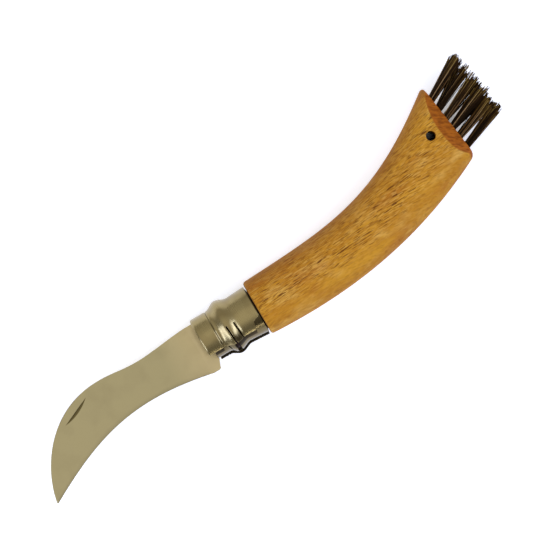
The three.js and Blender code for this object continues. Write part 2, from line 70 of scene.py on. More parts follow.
def steps(first, *pairs):
    """Evenly stepped numbers through several stops: steps(0, 2, 10, 3, 40) is 0, 5, 10, 20, 30, 40."""
    values = [first]
    for count, stop in zip(pairs[::2], pairs[1::2]):
        start = values[-1]
        values += [mix(start, stop, (i + 1) / count) for i in range(count)]
    return values


print("pivot at", tuple(round(value, 4) for value in pivot))

# %% [markdown]
# The photograph looks straight down on the knife as it lies on its flank, with the collar's axis
# turned 30.5 degrees. A long lens far above keeps the outline free of perspective. The picture shows
# 200 mm of the plane in which the blade lies, and its middle is a place just above the handle's front.

# %% Camera
SHOWN_WIDTH = 200.0
VIEW_TURN = -30.5
VIEW_CENTRE = (22.54, 7.66)
LENS = 300.0
SENSOR = 36.0

camera = bpy.data.objects.new("camera", bpy.data.cameras.new("camera"))
bpy.context.scene.collection.objects.link(camera)
camera.data.lens = LENS
camera.data.sensor_width = SENSOR
camera.location = spot(*VIEW_CENTRE, SHOWN_WIDTH * LENS / SENSOR)
camera.rotation_euler = (0, 0, math.radians(VIEW_TURN))
bpy.context.scene.camera = camera
bpy.context.scene.view_settings.view_transform = "Standard"
print("camera is", round(camera.location.z, 3), "m above the floor")

# %% [markdown]
# Colours are written as they would be picked from a picture, as hex values, and turned to Blender's
# linear light by one function. A second small function adds a shader node with its settings, its
# values and its links, so that a material reads from top to bottom.

# %% Colours and nodes
MATH, VECTOR, RANGE, MIX = "ShaderNodeMath", "ShaderNodeVectorMath", "ShaderNodeMapRange", "ShaderNodeMix"
NOISE, COORDINATES, AXES = "ShaderNodeTexNoise", "ShaderNodeTexCoord", "ShaderNodeSeparateXYZ"


def paint(colour):
    """A linear colour from an sRGB hex value."""
    parts = [int(colour[i:i + 2], 16) / 255 for i in (1, 3, 5)]
    linear = [p / 12.92 if p <= 0.04045 else ((p + 0.055) / 1.055) ** 2.4 for p in parts]
    return (*linear, 1.0)


def add_node(tree, kind, inputs=(), **settings):
    """Adds a node. Its inputs go by name or in order: constants, other nodes or one of their outputs."""
    node = tree.nodes.new(kind)
    for name, value in settings.items():
        setattr(node, name, value)
    in_use = [socket for socket in node.inputs if socket.enabled]
    for key, value in inputs.items() if isinstance(inputs, dict) else enumerate(inputs):
        socket = in_use[key] if isinstance(key, int) else next(s for s in in_use if s.name == key)
        if isinstance(value, bpy.types.Node):
            value = next(output for output in value.outputs if output.enabled)
        if isinstance(value, bpy.types.NodeSocket):
            tree.links.new(value, socket)
        else:
            socket.default_value = value
    return node


def new_material(name):
    """An empty material with its tree and its output's surface."""
    material = bpy.data.materials.new(name)
    material.use_nodes = True
    tree = material.node_tree
    tree.nodes.clear()
    return material, tree, add_node(tree, "ShaderNodeOutputMaterial").inputs["Surface"]


print("a mid grey is", round(paint("#808080")[0], 3), "in linear light")

# %% [markdown]
# The floor is a wide white table. A matt white alone would render a little grey, so a faint glow that
# only the camera, reflections and glass can see lifts it to white. Where the table is closed in on all
# sides, as under the lanyard hole, the glow fades and the white turns to a painted shade, so that the
# hole stays dark.

# %% Floor
FLOOR_SIZE, FLOOR_GLOW = 12.0, 0.42
FLOOR_WHITE, PAINTED_HOLE_SHADE = "#f4f4f4", "#201e1c"
COVER_REACH, COVERED, OPEN = 0.03, 0.1, 0.16

floor_mesh = bpy.data.meshes.new("floor")
half = FLOOR_SIZE / 2
floor_mesh.from_pydata([(-half, -half, 0), (half, -half, 0), (half, half, 0), (-half, half, 0)], [],
                       [(0, 1, 2, 3)])
floor = bpy.data.objects.new("floor", floor_mesh)
bpy.context.scene.collection.objects.link(floor)

white_table, tree, surface = new_material("white_table")
rays = add_node(tree, "ShaderNodeLightPath").outputs
seen = add_node(tree, MATH, (rays["Is Camera Ray"], rays["Is Glossy Ray"]), operation="ADD")
seen = add_node(tree, MATH, (seen, rays["Is Transmission Ray"]), operation="ADD", use_clamp=True)
cover = add_node(tree, "ShaderNodeAmbientOcclusion", {"Distance": COVER_REACH}).outputs["AO"]
uncovered = add_node(tree, RANGE, (cover, COVERED, OPEN, 0.0, FLOOR_GLOW))
glow = add_node(tree, MATH, (seen, uncovered), operation="MULTIPLY")
bare = add_node(tree, RANGE, (cover, COVERED, OPEN))
# In spots closed in on all sides, the table's white turns to a painted shade.
tone = add_node(tree, MIX, (bare, paint(PAINTED_HOLE_SHADE), paint(FLOOR_WHITE)), data_type="RGBA")
matt = add_node(tree, "ShaderNodeBsdfDiffuse", {"Color": tone})
lift = add_node(tree, "ShaderNodeEmission", {"Color": paint("#ffffff"), "Strength": glow})
both = add_node(tree, "ShaderNodeAddShader", (matt, lift))
tree.links.new(both.outputs[0], surface)
floor_mesh.materials.append(white_table)
print("floor is", FLOOR_SIZE, "m wide")

# %% [markdown]
# Steel shows what stands around it, so the light is a small studio: a broad soft light overhead for
# the blade's face, two cool softboxes beyond the tip and beyond the brush that draw the bright streaks
# on the ring's bulge, and a low strip on the knife's edge side for the collar in the ring's slot. The
# world around them dims towards the horizon, the tip and the edge side.

# %% Lights
CENTRE = Vector((0.0, 0.0, 0.0))


def add_softbox(name, place, width, height, watts, colour="#ffffff"):
    """A rectangular light that faces the knife."""
    light = bpy.data.lights.new(name, "AREA")
    light.shape = "RECTANGLE"
    light.size = width
    light.size_y = height
    light.energy = watts
    light.color = paint(colour)[:3]
    lamp = bpy.data.objects.new(name, light)
    lamp.location = place
    lamp.rotation_euler = (CENTRE - Vector(place)).to_track_quat("-Z", "Y").to_euler()
    bpy.context.scene.collection.objects.link(lamp)


add_softbox("overhead", (0.0, 0.1, 1.5), 1.6, 1.6, 1.6)
add_softbox("beyond_tip", (-0.95, -0.22, 0.55), 0.9, 0.3, 7.4, "#c4d2ff")
add_softbox("beyond_brush", (0.65, -0.26, 0.72), 0.9, 0.26, 6.4, "#c4d2ff")
add_softbox("low_strip", (-0.07, -1.46, 0.37), 0.8, 0.1, 1.9)

# How the world's level runs along each axis of a direction: from, to, level there, level here
FADES = {"Z": (0.0, 0.9, 0.52, 0.8), "Y": (-0.75, -0.15, 0.36, 1.0), "X": (-0.95, -0.6, 0.45, 1.0)}

world = bpy.data.worlds.new("studio")
bpy.context.scene.world = world
world.use_nodes = True
tree = world.node_tree
tree.nodes.clear()
direction = add_node(tree, AXES, (add_node(tree, COORDINATES).outputs["Generated"],))
level = 1.0
for axis, (start, end, low, high) in FADES.items():
    fade = add_node(tree, RANGE, (direction.outputs[axis], start, end, low, high))
    level = add_node(tree, MATH, (level, fade), operation="MULTIPLY")
sky = add_node(tree, "ShaderNodeBackground", {"Color": paint("#ffffff"), "Strength": level})
add_node(tree, "ShaderNodeOutputWorld", {"Surface": sky})

# %% [markdown]
# The pieces are made as meshes from points. A few helpers are shared: one makes an object from points
# and faces, one opens its mesh for a change, one turns modifiers into plain mesh, and one marks the
# creases so that the rest is shaded smooth.

# %% Mesh helpers
def new_piece(name, points, faces):
    mesh = bpy.data.meshes.new(name)
    mesh.from_pydata([spot(*p) for p in points], [], faces)
    piece = bpy.data.objects.new(name, mesh)
    bpy.context.scene.collection.objects.link(piece)
    return piece


def reshape(piece, change):
    """Opens the piece's mesh for a change, and writes it back."""
    mesh = bmesh.new()
    mesh.from_mesh(piece.data)
    change(mesh)
    mesh.to_mesh(piece.data)
    mesh.free()


def face_outwards(piece):
    reshape(piece, lambda mesh: bmesh.ops.recalc_face_normals(mesh, faces=mesh.faces))


def settle(piece):
    """Turns what the modifiers make into plain mesh, and takes the modifiers off."""
    bpy.context.view_layer.update()
    graph = bpy.context.evaluated_depsgraph_get()
    mesh = bpy.data.meshes.new_from_object(piece.evaluated_get(graph))
    piece.modifiers.clear()
    piece.data = mesh


def shade(piece, crease_degrees):
    """Smooth shading, apart from edges that turn more than the crease."""
    def mark(mesh):
        for face in mesh.faces:
            face.smooth = True
        for edge in mesh.edges:
            turn = edge.calc_face_angle(0.0)
            edge.smooth = turn < math.radians(crease_degrees)
    reshape(piece, mark)


print("mesh helpers are ready")

# %% [markdown]
# The collar and the lock ring are two sleeves pressed from stainless sheet. Both follow one profile:
# a straight front, a rolled bulge over the pivot and a rear that flares slightly. The bulge is what
# keeps the ring on: it can turn about the collar and cannot slide off.

# %% The sleeves' shared profile
RING_WALL, COLLAR_WALL, SLEEVE_GAP = 0.8, 0.8, 0.3
RING_FRONT, RING_REAR = -12.7, 10.2
FRONT_RADIUS, REAR_RADIUS, REAR_FLARE = 9.15, 9.5, 0.45
BULGE_RADIUS, BULGE_PEAK = 10.85, -1.7
BULGE_FRONT, BULGE_REAR = -5.9, 2.9
SOFTENED_TURN, SLEEVE_CREASE = 50, 40


def sleeve_radius(x):
    """Outside radius of the lock ring at a place along the collar's axis."""
    toward = BULGE_FRONT if x < BULGE_PEAK else BULGE_REAR
    share = (x - BULGE_PEAK) / (toward - BULGE_PEAK)
    flare = max(0.0, (x - BULGE_REAR) / (RING_REAR - BULGE_REAR))
    base = FRONT_RADIUS if x < BULGE_PEAK else REAR_RADIUS + REAR_FLARE * flare
    swell = (1 + math.cos(math.pi * share)) / 2 if share < 1 else 0
    return mix(base, BULGE_RADIUS, swell)


def roll_sleeve(name, reaches, angles, shape, is_cut, wall, soft_edge):
    """Rolls a flat blank with its cut-outs into a sleeve, and gives it its wall and soft edges."""
    points = []
    for reach in reaches:
        for angle in angles:
            x, degrees, radius = shape(reach, angle)
            turn = math.radians(degrees)
            points.append((x, -radius * math.cos(turn), radius * math.sin(turn)))
    across = len(angles)
    faces = []
    for i in range(len(reaches) - 1):
        for j in range(across - 1):
            if not is_cut(mix(reaches[i], reaches[i + 1], 0.5), mix(angles[j], angles[j + 1], 0.5)):
                a = i * across + j
                faces.append((a, a + 1, a + across + 1, a + across))
    sleeve = new_piece(name, points, faces)

    def drop_unused(mesh):
        loose = [v for v in mesh.verts if not v.link_faces]
        bmesh.ops.delete(mesh, geom=loose, context="VERTS")
    reshape(sleeve, drop_unused)
    sheet = sleeve.modifiers.new("sheet", "SOLIDIFY")
    sheet.thickness = wall * MM
    sheet.offset = 0
    sheet.use_even_offset = True
    edges = sleeve.modifiers.new("soft edges", "BEVEL")
    edges.width = soft_edge * MM
    edges.segments = 3
    edges.limit_method = "ANGLE"
    edges.angle_limit = math.radians(SOFTENED_TURN)
    edges.use_clamp_overlap = False
    settle(sleeve)
    face_outwards(sleeve)
    shade(sleeve, SLEEVE_CREASE)
    return sleeve


print("ring is", RING_REAR - RING_FRONT, "mm long and", 2 * BULGE_RADIUS, "mm across its bulge")

# %% [markdown]
# The lock ring is drawn flat first, as its blank would be: a slot for the blade, two slits that leave
# a springy tongue, a corner nipped off at the rear, and a rim cut back on the far side where the
# turned ring meets the blade's heel. Angles go round the collar from the edge side towards the viewer.

# %% Lock ring
SLOT_NEAR, SLOT_FAR = 51, 350
SLIT_TOP = 93
SLITS = ((-2.4, -1.9), (0.6, 1.1))
SLIT_LEAN, SLIT_FADE = 0.5, 3.0
NOTCH_START, NOTCH_LEAN_END = 6.6, 7.5
NOTCH_LOW, NOTCH_HIGH = 73, 79
RELIEF_REACH, RELIEF_FLAT, RELIEF_RAMP = -9.7, 310, 296
GROOVE_FRONT, GROOVE_DEPTH = -7.1, 0.42
LIP_LENGTH, LIP_CURL, LIP_STEPS_END = 0.6, 0.35, -11.7
RING_SOFT_EDGE = 0.22


def slot_edge(x):
    """The near edge of the ring's slot, which leans back at the rear notch."""
    if x <= NOTCH_START:
        return SLOT_NEAR
    if x <= NOTCH_LEAN_END:
        return mix(SLOT_NEAR, NOTCH_LOW, (x - NOTCH_START) / (NOTCH_LEAN_END - NOTCH_START))
    return mix(NOTCH_LOW, NOTCH_HIGH, (x - NOTCH_LEAN_END) / (RING_REAR - NOTCH_LEAN_END))


def ring_shape(reach, angle):
    """Where a place on the ring's flat blank goes."""
    x = reach
    if angle > RELIEF_RAMP and reach < GROOVE_FRONT:
        back = min(1.0, (angle - RELIEF_RAMP) / (RELIEF_FLAT - RELIEF_RAMP))
        rim = mix(RING_FRONT, RELIEF_REACH, back)
        x = mix(rim, GROOVE_FRONT, (reach - RING_FRONT) / (GROOVE_FRONT - RING_FRONT))
    degrees = angle
    if angle < SLIT_TOP:
        beside = max(SLITS[0][0] - x, x - SLITS[1][1], 0) / SLIT_FADE
        x += SLIT_LEAN * max(1 - beside, 0) * (SLIT_TOP - angle) / (SLIT_TOP - SLOT_NEAR)
        degrees = mix(slot_edge(x), SLIT_TOP, (angle - SLOT_NEAR) / (SLIT_TOP - SLOT_NEAR))
    radius = sleeve_radius(x) - RING_WALL / 2
    groove = (x - GROOVE_FRONT) / (BULGE_FRONT - GROOVE_FRONT)
    if 0 < groove < 1:
        radius -= GROOVE_DEPTH * math.sin(math.pi * groove) ** 2
    lip = max(0.0, (RING_FRONT + LIP_LENGTH - x) / LIP_LENGTH)
    return x, degrees, radius - LIP_CURL * lip ** 2


def ring_cut(reach, angle):
    return angle < SLIT_TOP and any(low < reach < high for low, high in SLITS)


ring_reaches = steps(RING_FRONT, 6, LIP_STEPS_END, 10, GROOVE_FRONT, 8, BULGE_FRONT, 12, SLITS[0][0],
                     2, SLITS[0][1], 7, SLITS[1][0], 2, SLITS[1][1], 6, BULGE_REAR, 7, NOTCH_START,
                     6, NOTCH_LEAN_END, 6, RING_REAR)
ring_angles = steps(SLOT_NEAR, 18, SLIT_TOP, 84, RELIEF_RAMP, 22, SLOT_FAR)
lock_ring = roll_sleeve("pressed_lock_ring", ring_reaches, ring_angles, ring_shape, ring_cut,
                        RING_WALL, RING_SOFT_EDGE)
print("lock ring has", len(lock_ring.data.polygons), "faces")

# %% [markdown]
# The other pieces are closed bodies, and their holes are cut with closed bodies too. A body is skinned
# over rings of points, and both ends are closed with strips that cross from side to side. The simplest
# is a drill, which has two round rings. The rivet's hole goes through the collar, the blade and the
# handle, so its drill has a helper of its own.

# %% Closed bodies and cuts
def skin(name, rings, first_partner):
    """A closed body through rings. In each ring, point i lies across from first_partner - i."""
    count = len(rings[0])
    faces = []
    for i in range(len(rings) - 1):
        for j in range(count):
            a, b = i * count + j, i * count + (j + 1) % count
            faces.append((a, b, b + count, a + count))
    for start in (0, (len(rings) - 1) * count):
        for j in range(count // 2):
            across = [(first_partner - k) % count for k in (j + 1, j)]
            corners = list(dict.fromkeys([j, j + 1, *across]))
            if len(corners) > 2:
                faces.append([start + corner for corner in corners])
    piece = new_piece(name, [p for ring in rings for p in ring], faces)
    face_outwards(piece)
    return piece


def turned_rings(profile, sides, place):
    """Rings for a profile of (along, radius) pairs; place puts (along, a, b) in the knife."""
    turns = [2 * math.pi * i / sides for i in range(sides)]
    return [[place(along, radius * math.cos(t), radius * math.sin(t)) for t in turns]
            for along, radius in profile]


def rivet_drill(name, radius, reach, sides=48):
    """A round cutter along the rivet, as long on both sides of the middle plane."""
    ends = [(-reach, radius), (reach, radius)]
    return skin(name, turned_rings(ends, sides, lambda along, a, b: (a, b, along)), 0)


def carve(piece, cutters):
    """Cuts other closed bodies out of a piece, and removes them."""
    for cutter in cutters:
        cut = piece.modifiers.new(cutter.name, "BOOLEAN")
        cut.operation = "DIFFERENCE"
        cut.solver = "EXACT"
        cut.object = cutter
    settle(piece)
    for cutter in cutters:
        bpy.data.objects.remove(cutter)


print("bodies can be skinned, turned and cut")

# %% [markdown]
# The fixed collar lies one gap inside the ring and shows in the ring's slot. It is slit along its
# whole length for the blade, and two cuts beside the bulge let the sheet be pressed out.

# %% Fixed collar
COLLAR_FRONT, COLLAR_REAR = -10.5, 10.45
BLADE_SLOT = 2.3
COLLAR_CUT_TOP = 54
COLLAR_CUTS = ((-4.5, -4.15), (-2.5, -1.1))
COLLAR_CUT_LEAN, COLLAR_CUT_FADE = 0.6, 1.4
COLLAR_INSET = RING_WALL + SLEEVE_GAP + COLLAR_WALL / 2
COLLAR_SOFT_EDGE = 0.12
COLLAR_RIVET_HOLE, THROUGH = 2.9, 15.0


def collar_shape(reach, angle):
    radius = sleeve_radius(reach) - COLLAR_INSET
    edge = math.degrees(math.asin(BLADE_SLOT / 2 / radius))
    folded = min(angle, 360 - angle)
    if folded < COLLAR_CUT_TOP:
        beside = abs(reach - COLLAR_CUTS[0][0]) / COLLAR_CUT_FADE
        reach += COLLAR_CUT_LEAN * max(1 - beside, 0) * (1 - 2 * folded / COLLAR_CUT_TOP)
        folded = mix(edge, COLLAR_CUT_TOP, folded / COLLAR_CUT_TOP)
    return reach, folded if angle < 180 else 360 - folded, radius


def collar_cut(reach, angle):
    return angle < COLLAR_CUT_TOP and any(low < reach < high for low, high in COLLAR_CUTS)


collar_reaches = steps(COLLAR_FRONT, 10, BULGE_FRONT, 6, COLLAR_CUTS[0][0], 1, COLLAR_CUTS[0][1], 8,
                       COLLAR_CUTS[1][0], 5, COLLAR_CUTS[1][1], 12, BULGE_REAR, 12, COLLAR_REAR)
collar_angles = steps(0, 22, COLLAR_CUT_TOP, 100, 360 - COLLAR_CUT_TOP, 22, 360)
collar = roll_sleeve("pressed_collar", collar_reaches, collar_angles, collar_shape, collar_cut,
                     COLLAR_WALL, COLLAR_SOFT_EDGE)
carve(collar, [rivet_drill("collar_rivet_hole", COLLAR_RIVET_HOLE, THROUGH)])
shade(collar, SLEEVE_CREASE)
print("collar has", len(collar.data.polygons), "faces")

# %% [markdown]
# Blade and handle both follow drawn lines. A cubic curve between four corners bends as a batten does,
# and it needs few numbers. Points on it lie closer together where it bends, so a walk along the line
# finds places that are evenly spaced.

# %% Curves
def cubic(corners, t):
    """A place on a cubic curve with four corners."""
    a, b, c, d = ((1 - t) ** 3, 3 * t * (1 - t) ** 2, 3 * t ** 2 * (1 - t), t ** 3)
    return corners[0] * a + corners[1] * b + corners[2] * c + corners[3] * d


def bezier(corners, count):
    """Points along a cubic curve, without the last one."""
    return [cubic(corners, i / count) for i in range(count)]


def walk(path, count):
    """Points spaced evenly along a path of many short lines."""
    lengths = [0.0]
    for before, after in zip(path, path[1:]):
        lengths.append(lengths[-1] + (after - before).length)
    found, j = [], 0
    for i in range(count + 1):
        wanted = lengths[-1] * i / count
        while j < len(path) - 2 and lengths[j + 1] < wanted:
            j += 1
        share = (wanted - lengths[j]) / (lengths[j + 1] - lengths[j])
        found.append(mix(path[j], path[j + 1], min(share, 1.0)))
    return found


trial = walk([Vector((0.0, 0.0)), Vector((8.0, 0.0))], 4)
print("a walk of four steps along 8 mm:", [place.x for place in trial])

# %% [markdown]
# The blade is a hooked pruning shape. It could be cut from a plate, but a real blade thins from spine
# to edge, so it is made of closed sections instead: each runs from the spine down one face to the
# edge and back up the other. The sections follow the spine curve and the edge curve together.

# %% Blade outline
BLADE_HALF, TIP_HALF, EDGE_HALF = 0.85, 0.5, 0.15
TIP = Vector((-87.9, -24.25))
RICASSO = -14.5
SPINE_HEIGHT, SPINE_DIP, SPINE_CROWN = 7.75, 6.0, 7.15
HEEL_DROP, HEEL_REACH, HEEL_LEAN, HEEL_ROUNDING = 11.85, 11.5, 2.2, 1.0
HEEL_TOP = -HEEL_REACH + HEEL_LEAN
HEEL_CORNER = (-HEEL_REACH - HEEL_ROUNDING, -HEEL_REACH + HEEL_ROUNDING * HEEL_LEAN / HEEL_DROP)
TANG_HALF = 5.9
TANG_STEP = (-12.3, -11.7)
GROUND_LENGTH = RICASSO - TIP.x
CURVE_STEPS = 200

# Where both lines have their corners, as shares of the ground length and of the tip's drop
FLAT_SHARE, DIP_SHARE, CROWN_SHARE, FALL_SHARE = 0.09, 0.302, 0.52, 0.835
NEAR_TIP_SHARES = (0.981, 0.569)
EDGE_SHARES = ((0.424, 0.203), (0.657, 0.429))


def ground_x(share):
    return RICASSO - GROUND_LENGTH * share


def ground_place(along_share, drop_share):
    return Vector((ground_x(along_share), TIP.y * drop_share))


def spine_path():
    start = Vector((RICASSO, SPINE_HEIGHT))
    flat = Vector((GROUND_LENGTH * FLAT_SHARE, 0))
    dip = Vector((ground_x(DIP_SHARE), SPINE_DIP))
    crown = Vector((ground_x(CROWN_SHARE), SPINE_CROWN))
    fall = Vector((ground_x(FALL_SHARE), SPINE_CROWN))
    near_tip = ground_place(*NEAR_TIP_SHARES)
    path = bezier([start, start - flat, dip + flat, dip], CURVE_STEPS)
    path += bezier([dip, dip - flat, crown + flat, crown], CURVE_STEPS)
    return path + bezier([crown, fall, near_tip, TIP], 2 * CURVE_STEPS) + [TIP]


def edge_path():
    start = Vector((RICASSO, -HEEL_DROP))
    near, far = (ground_place(*shares) for shares in EDGE_SHARES)
    return bezier([start, near, far, TIP], 4 * CURVE_STEPS) + [TIP]


print("ground part is", round(GROUND_LENGTH, 1), "mm long")

# %% [markdown]
# Behind the ground part comes the ricasso, which keeps the full thickness, then the heel, and the
# tang that ends in a half round about the pivot. There a section simply stands upright, so that part
# needs only the height of the top and of the bottom at each place.

# %% Blade sections
GROUND_STEPS = 150
FACE_ROWS = 14
CORNER, CORNER_SHARE = 0.12, 0.3
BEVEL_WIDTH, BEVEL_HALF, BEVEL_SHARE = 0.7, 0.02, 0.6
PLUNGE = 14.0
TANG_END = TANG_HALF - 0.05
RICASSO_STEP, STEP_LENGTH = 0.12, 0.5


def tang_heights(x):
    """Top and bottom of the flat part behind the ricasso."""
    if x > 0:
        round_off = math.sqrt(TANG_HALF ** 2 - x ** 2)
        return round_off, -round_off
    rise = min(max((TANG_STEP[1] - x) / (TANG_STEP[1] - TANG_STEP[0]), 0), 1)
    top = mix(TANG_HALF, SPINE_HEIGHT, rise)
    if x > HEEL_TOP:
        return top, -TANG_HALF
    if x > HEEL_CORNER[1]:
        share = (x - HEEL_CORNER[1]) / (HEEL_TOP - HEEL_CORNER[1])
        return top, mix(-HEEL_DROP + HEEL_ROUNDING, -TANG_HALF, share)
    share = max((x - HEEL_CORNER[0]) / (HEEL_CORNER[1] - HEEL_CORNER[0]), 0)
    return top, -HEEL_DROP + HEEL_ROUNDING * (1 - math.sqrt(1 - share ** 2))


def blade_section(top, bottom, thick, ground):
    """One closed section. ground is 0 on the flat tang and 1 where the face is fully ground."""
    height = (top - bottom).length
    soft = CORNER_SHARE * CORNER
    rows = [(0.0, thick - CORNER), (soft, thick - soft), (CORNER, thick)]
    last = height - mix(CORNER, BEVEL_WIDTH, ground)
    for i in range(1, FACE_ROWS + 1):
        down = mix(CORNER, last, i / FACE_ROWS)
        wedge = mix(thick, EDGE_HALF, down / height)
        rows.append((down, mix(thick, wedge, ground)))
    bevel_middle = mix(EDGE_HALF, BEVEL_HALF, BEVEL_SHARE)
    rows.append((mix(last, height, BEVEL_SHARE), mix(thick - soft, bevel_middle, ground)))
    rows.append((height, mix(thick - CORNER, BEVEL_HALF, ground)))
    near = []
    for down, out in rows:
        place = mix(top, bottom, min(max(down / height, 0), 1))
        near.append((place.x, place.y, min(out, thick)))
    return near + [(x, y, -z) for x, y, z in reversed(near)]


def ease(share):
    share = min(max(share, 0.0), 1.0)
    return share * share * (3 - 2 * share)


print("a tang section is", 2 * BLADE_HALF, "mm thick")

# %% [markdown]
# The sections are laid from the tip to the tang. In front of the ricasso the wedge deepens over 14 mm,
# as the belt leaves it, and a small step in the thickness shows where the belt began.

# %% Build the blade
sections = []
ground_top = walk(spine_path(), GROUND_STEPS)
ground_bottom = walk(edge_path(), GROUND_STEPS)
for i in range(GROUND_STEPS - 1, 0, -1):
    share = i / GROUND_STEPS
    top, bottom = ground_top[i], ground_bottom[i]
    past = RICASSO - (top.x + bottom.x) / 2
    thick = mix(BLADE_HALF, TIP_HALF, share) - RICASSO_STEP * ease(past / STEP_LENGTH)
    sections.append(blade_section(top, bottom, thick, ease(past / PLUNGE)))
for x in steps(RICASSO, 5, HEEL_CORNER[0], 26, HEEL_TOP, 8, 0.0, 12, TANG_END):
    top, bottom = tang_heights(x)
    sections.append(blade_section(Vector((x, top)), Vector((x, bottom)), BLADE_HALF, 0.0))
blade = skin("ground_blade", sections, len(sections[0]) - 1)
print("blade has", len(sections), "sections of", len(sections[0]), "points")

# %% [markdown]
# A nail nick is milled by a wheel with a slanted rim, dipped into the face near the spine. Doing the
# same here gives the true crescent: a thin wheel whose rim is steep on one side is cut out of the
# blade. The round hole for the rivet is cut at the same time.

# %% Nail nick and pivot hole
NICK_SHARE, NICK_LENGTH, NICK_DEPTH, NICK_WIDTH = 0.585, 13.4, 0.45, 1.3
NICK_BELOW_SPINE = 3.65
PIVOT_HOLE = 2.2

# The wheel's rim, in widths of the nick across it and in depths of the nick below its highest line
NICK_RIM_SHARES = ((-0.6, 3), (-0.5, 0), (1.5, 2))

nick_at = round(NICK_SHARE * GROUND_STEPS)
along = (ground_top[nick_at + 1] - ground_top[nick_at - 1]).normalized()
inward = Vector((-along.y, along.x))
nick_middle = ground_top[nick_at] + inward * NICK_BELOW_SPINE
wheel = NICK_LENGTH ** 2 / (8 * NICK_DEPTH)
face_height = mix(BLADE_HALF, TIP_HALF, NICK_SHARE) - RICASSO_STEP


def nick_place(across, a, b):
    """The wheel turns about the line that runs from the spine to the edge."""
    flat = nick_middle + along * a + inward * across
    return flat.x, flat.y, face_height + wheel - NICK_DEPTH + b


nick_rim = [(across * NICK_WIDTH, wheel - below * NICK_DEPTH) for across, below in NICK_RIM_SHARES]
nick_wheel = skin("nick_wheel", turned_rings(nick_rim, 360, nick_place), 0)
carve(blade, [nick_wheel, rivet_drill("blade_pivot_hole", PIVOT_HOLE, 2 * BLADE_HALF)])
shade(blade, 25)
print("blade has", len(blade.data.polygons), "faces")

# %% [markdown]
# The handle is one bent piece of beech. Two rails, its top and its bottom line, are drawn as curves,
# and between them stand sections that are flatter than an ellipse. Rounding the ends is a matter of
# drawing the first and last sections in.

# %% Handle rails
SHOULDER = 10.75
SHOULDER_WIDTH, SHOULDER_LIFT, SHOULDER_ROUNDING = 21.4, 0.5, 1.0
HANDLE_LENGTH, HANDLE_THICKNESS, END_RISE, END_WIDTH = 94.4, 22.6, 24.08, 31.5
END_SLANT = math.radians(7.6)
END_ROUNDING = 1.8
SECTION_POWER = 2.2

# Where each rail leaves the shoulder and reaches the end, as shares of the handle's length and rise
TOP_SHARES = ((0.402, 0.070), (-0.372, -1.127))
BOTTOM_SHARES = ((0.360, -0.089), (-0.332, -0.669))

out_of_end = Vector((math.cos(END_SLANT), math.sin(END_SLANT)))
up_end = Vector((-math.sin(END_SLANT), math.cos(END_SLANT)))
end_centre = Vector((SHOULDER + HANDLE_LENGTH, END_RISE))


def rail(sign, leave, arrive):
    """A rail's four corners: from the shoulder to the end, on the top (+1) or the bottom (-1)."""
    start = Vector((SHOULDER, SHOULDER_LIFT + sign * SHOULDER_WIDTH / 2))
    end = end_centre + up_end * (sign * END_WIDTH / 2)
    first = start + Vector((HANDLE_LENGTH * leave[0], END_RISE * leave[1]))
    second = end + Vector((HANDLE_LENGTH * arrive[0], END_RISE * arrive[1]))
    return start, first, second, end


top_rail = rail(1, *TOP_SHARES)
bottom_rail = rail(-1, *BOTTOM_SHARES)
print("handle ends", round(end_centre.x, 1), "mm behind the pivot")

# %% [markdown]
# Two bevels narrow the end to the strip that holds the brush. Instead of cutting them afterwards,
# which leaves a knife-sharp line, each section is held below the bevel's plane by a smooth minimum,
# so that the line between flank and bevel gets the soft edge that sanding gives it.

# %% Handle sections
SIDES = 192
END_LAND, BEVEL_DEPTH, BEVEL_SOFTNESS = 10.0, 5.2, 0.55
SHOULDER_STEPS, END_STEPS = 8, 10
DENSE_FROM_END = BEVEL_DEPTH + 2
END_FACE_INSETS = (0.25, 0.8)
NECK_FRONT = -10.2
NECK_INSET = RING_WALL + COLLAR_WALL + 2 * SLEEVE_GAP


def smooth_minimum(a, b, soft):
    share = min(max(0.5 + 0.5 * (b - a) / soft, 0.0), 1.0)
    return mix(b, a, share) - soft * share * (1 - share)


def bevel_limit(x, y):
    """How far from the middle plane the wood may reach at a place near the end."""
    inside = (end_centre - Vector((x, y))).dot(out_of_end)
    return END_LAND / 2 + inside * (HANDLE_THICKNESS - END_LAND) / 2 / BEVEL_DEPTH


def handle_section(share, inset, land_inset=0.0):
    top, bottom = cubic(top_rail, share), cubic(bottom_rail, share)
    centre = (top + bottom) / 2
    half_line = top - centre
    drawn_in = 1 - inset / half_line.length
    ring = []
    for i in range(SIDES):
        turn = 2 * math.pi * i / SIDES
        up = math.copysign(abs(math.cos(turn)) ** (2 / SECTION_POWER), math.cos(turn))
        out = abs(math.sin(turn)) ** (2 / SECTION_POWER)
        place = centre + half_line * (up * drawn_in)
        depth = (HANDLE_THICKNESS / 2 - inset) * out
        depth = smooth_minimum(depth, bevel_limit(place.x, place.y) - land_inset, BEVEL_SOFTNESS)
        ring.append((place.x, place.y, math.copysign(max(depth, 0.0), math.sin(turn))))
    return ring


neck = [(x, sleeve_radius(x) - NECK_INSET) for x in steps(NECK_FRONT, 40, SHOULDER)]
rings = turned_rings(neck, SIDES, lambda *place: place)
for turn in steps(0.0, SHOULDER_STEPS, math.pi / 2):
    share = SHOULDER_ROUNDING * (1 - math.cos(turn)) / HANDLE_LENGTH
    rings.append(handle_section(share, SHOULDER_ROUNDING * (1 - math.sin(turn))))
dense_start = 1 - DENSE_FROM_END / HANDLE_LENGTH
rounding_start = 1 - END_ROUNDING / HANDLE_LENGTH
for share in steps(SHOULDER_ROUNDING / HANDLE_LENGTH, 80, dense_start, 20, rounding_start)[1:]:
    rings.append(handle_section(share, 0))
for turn in steps(0.0, END_STEPS, math.pi / 2)[1:]:
    share = 1 - END_ROUNDING * (1 - math.sin(turn)) / HANDLE_LENGTH
    rings.append(handle_section(share, END_ROUNDING * (1 - math.cos(turn))))
for inset in END_FACE_INSETS:
    rings.append(handle_section(1, END_ROUNDING + inset, inset))
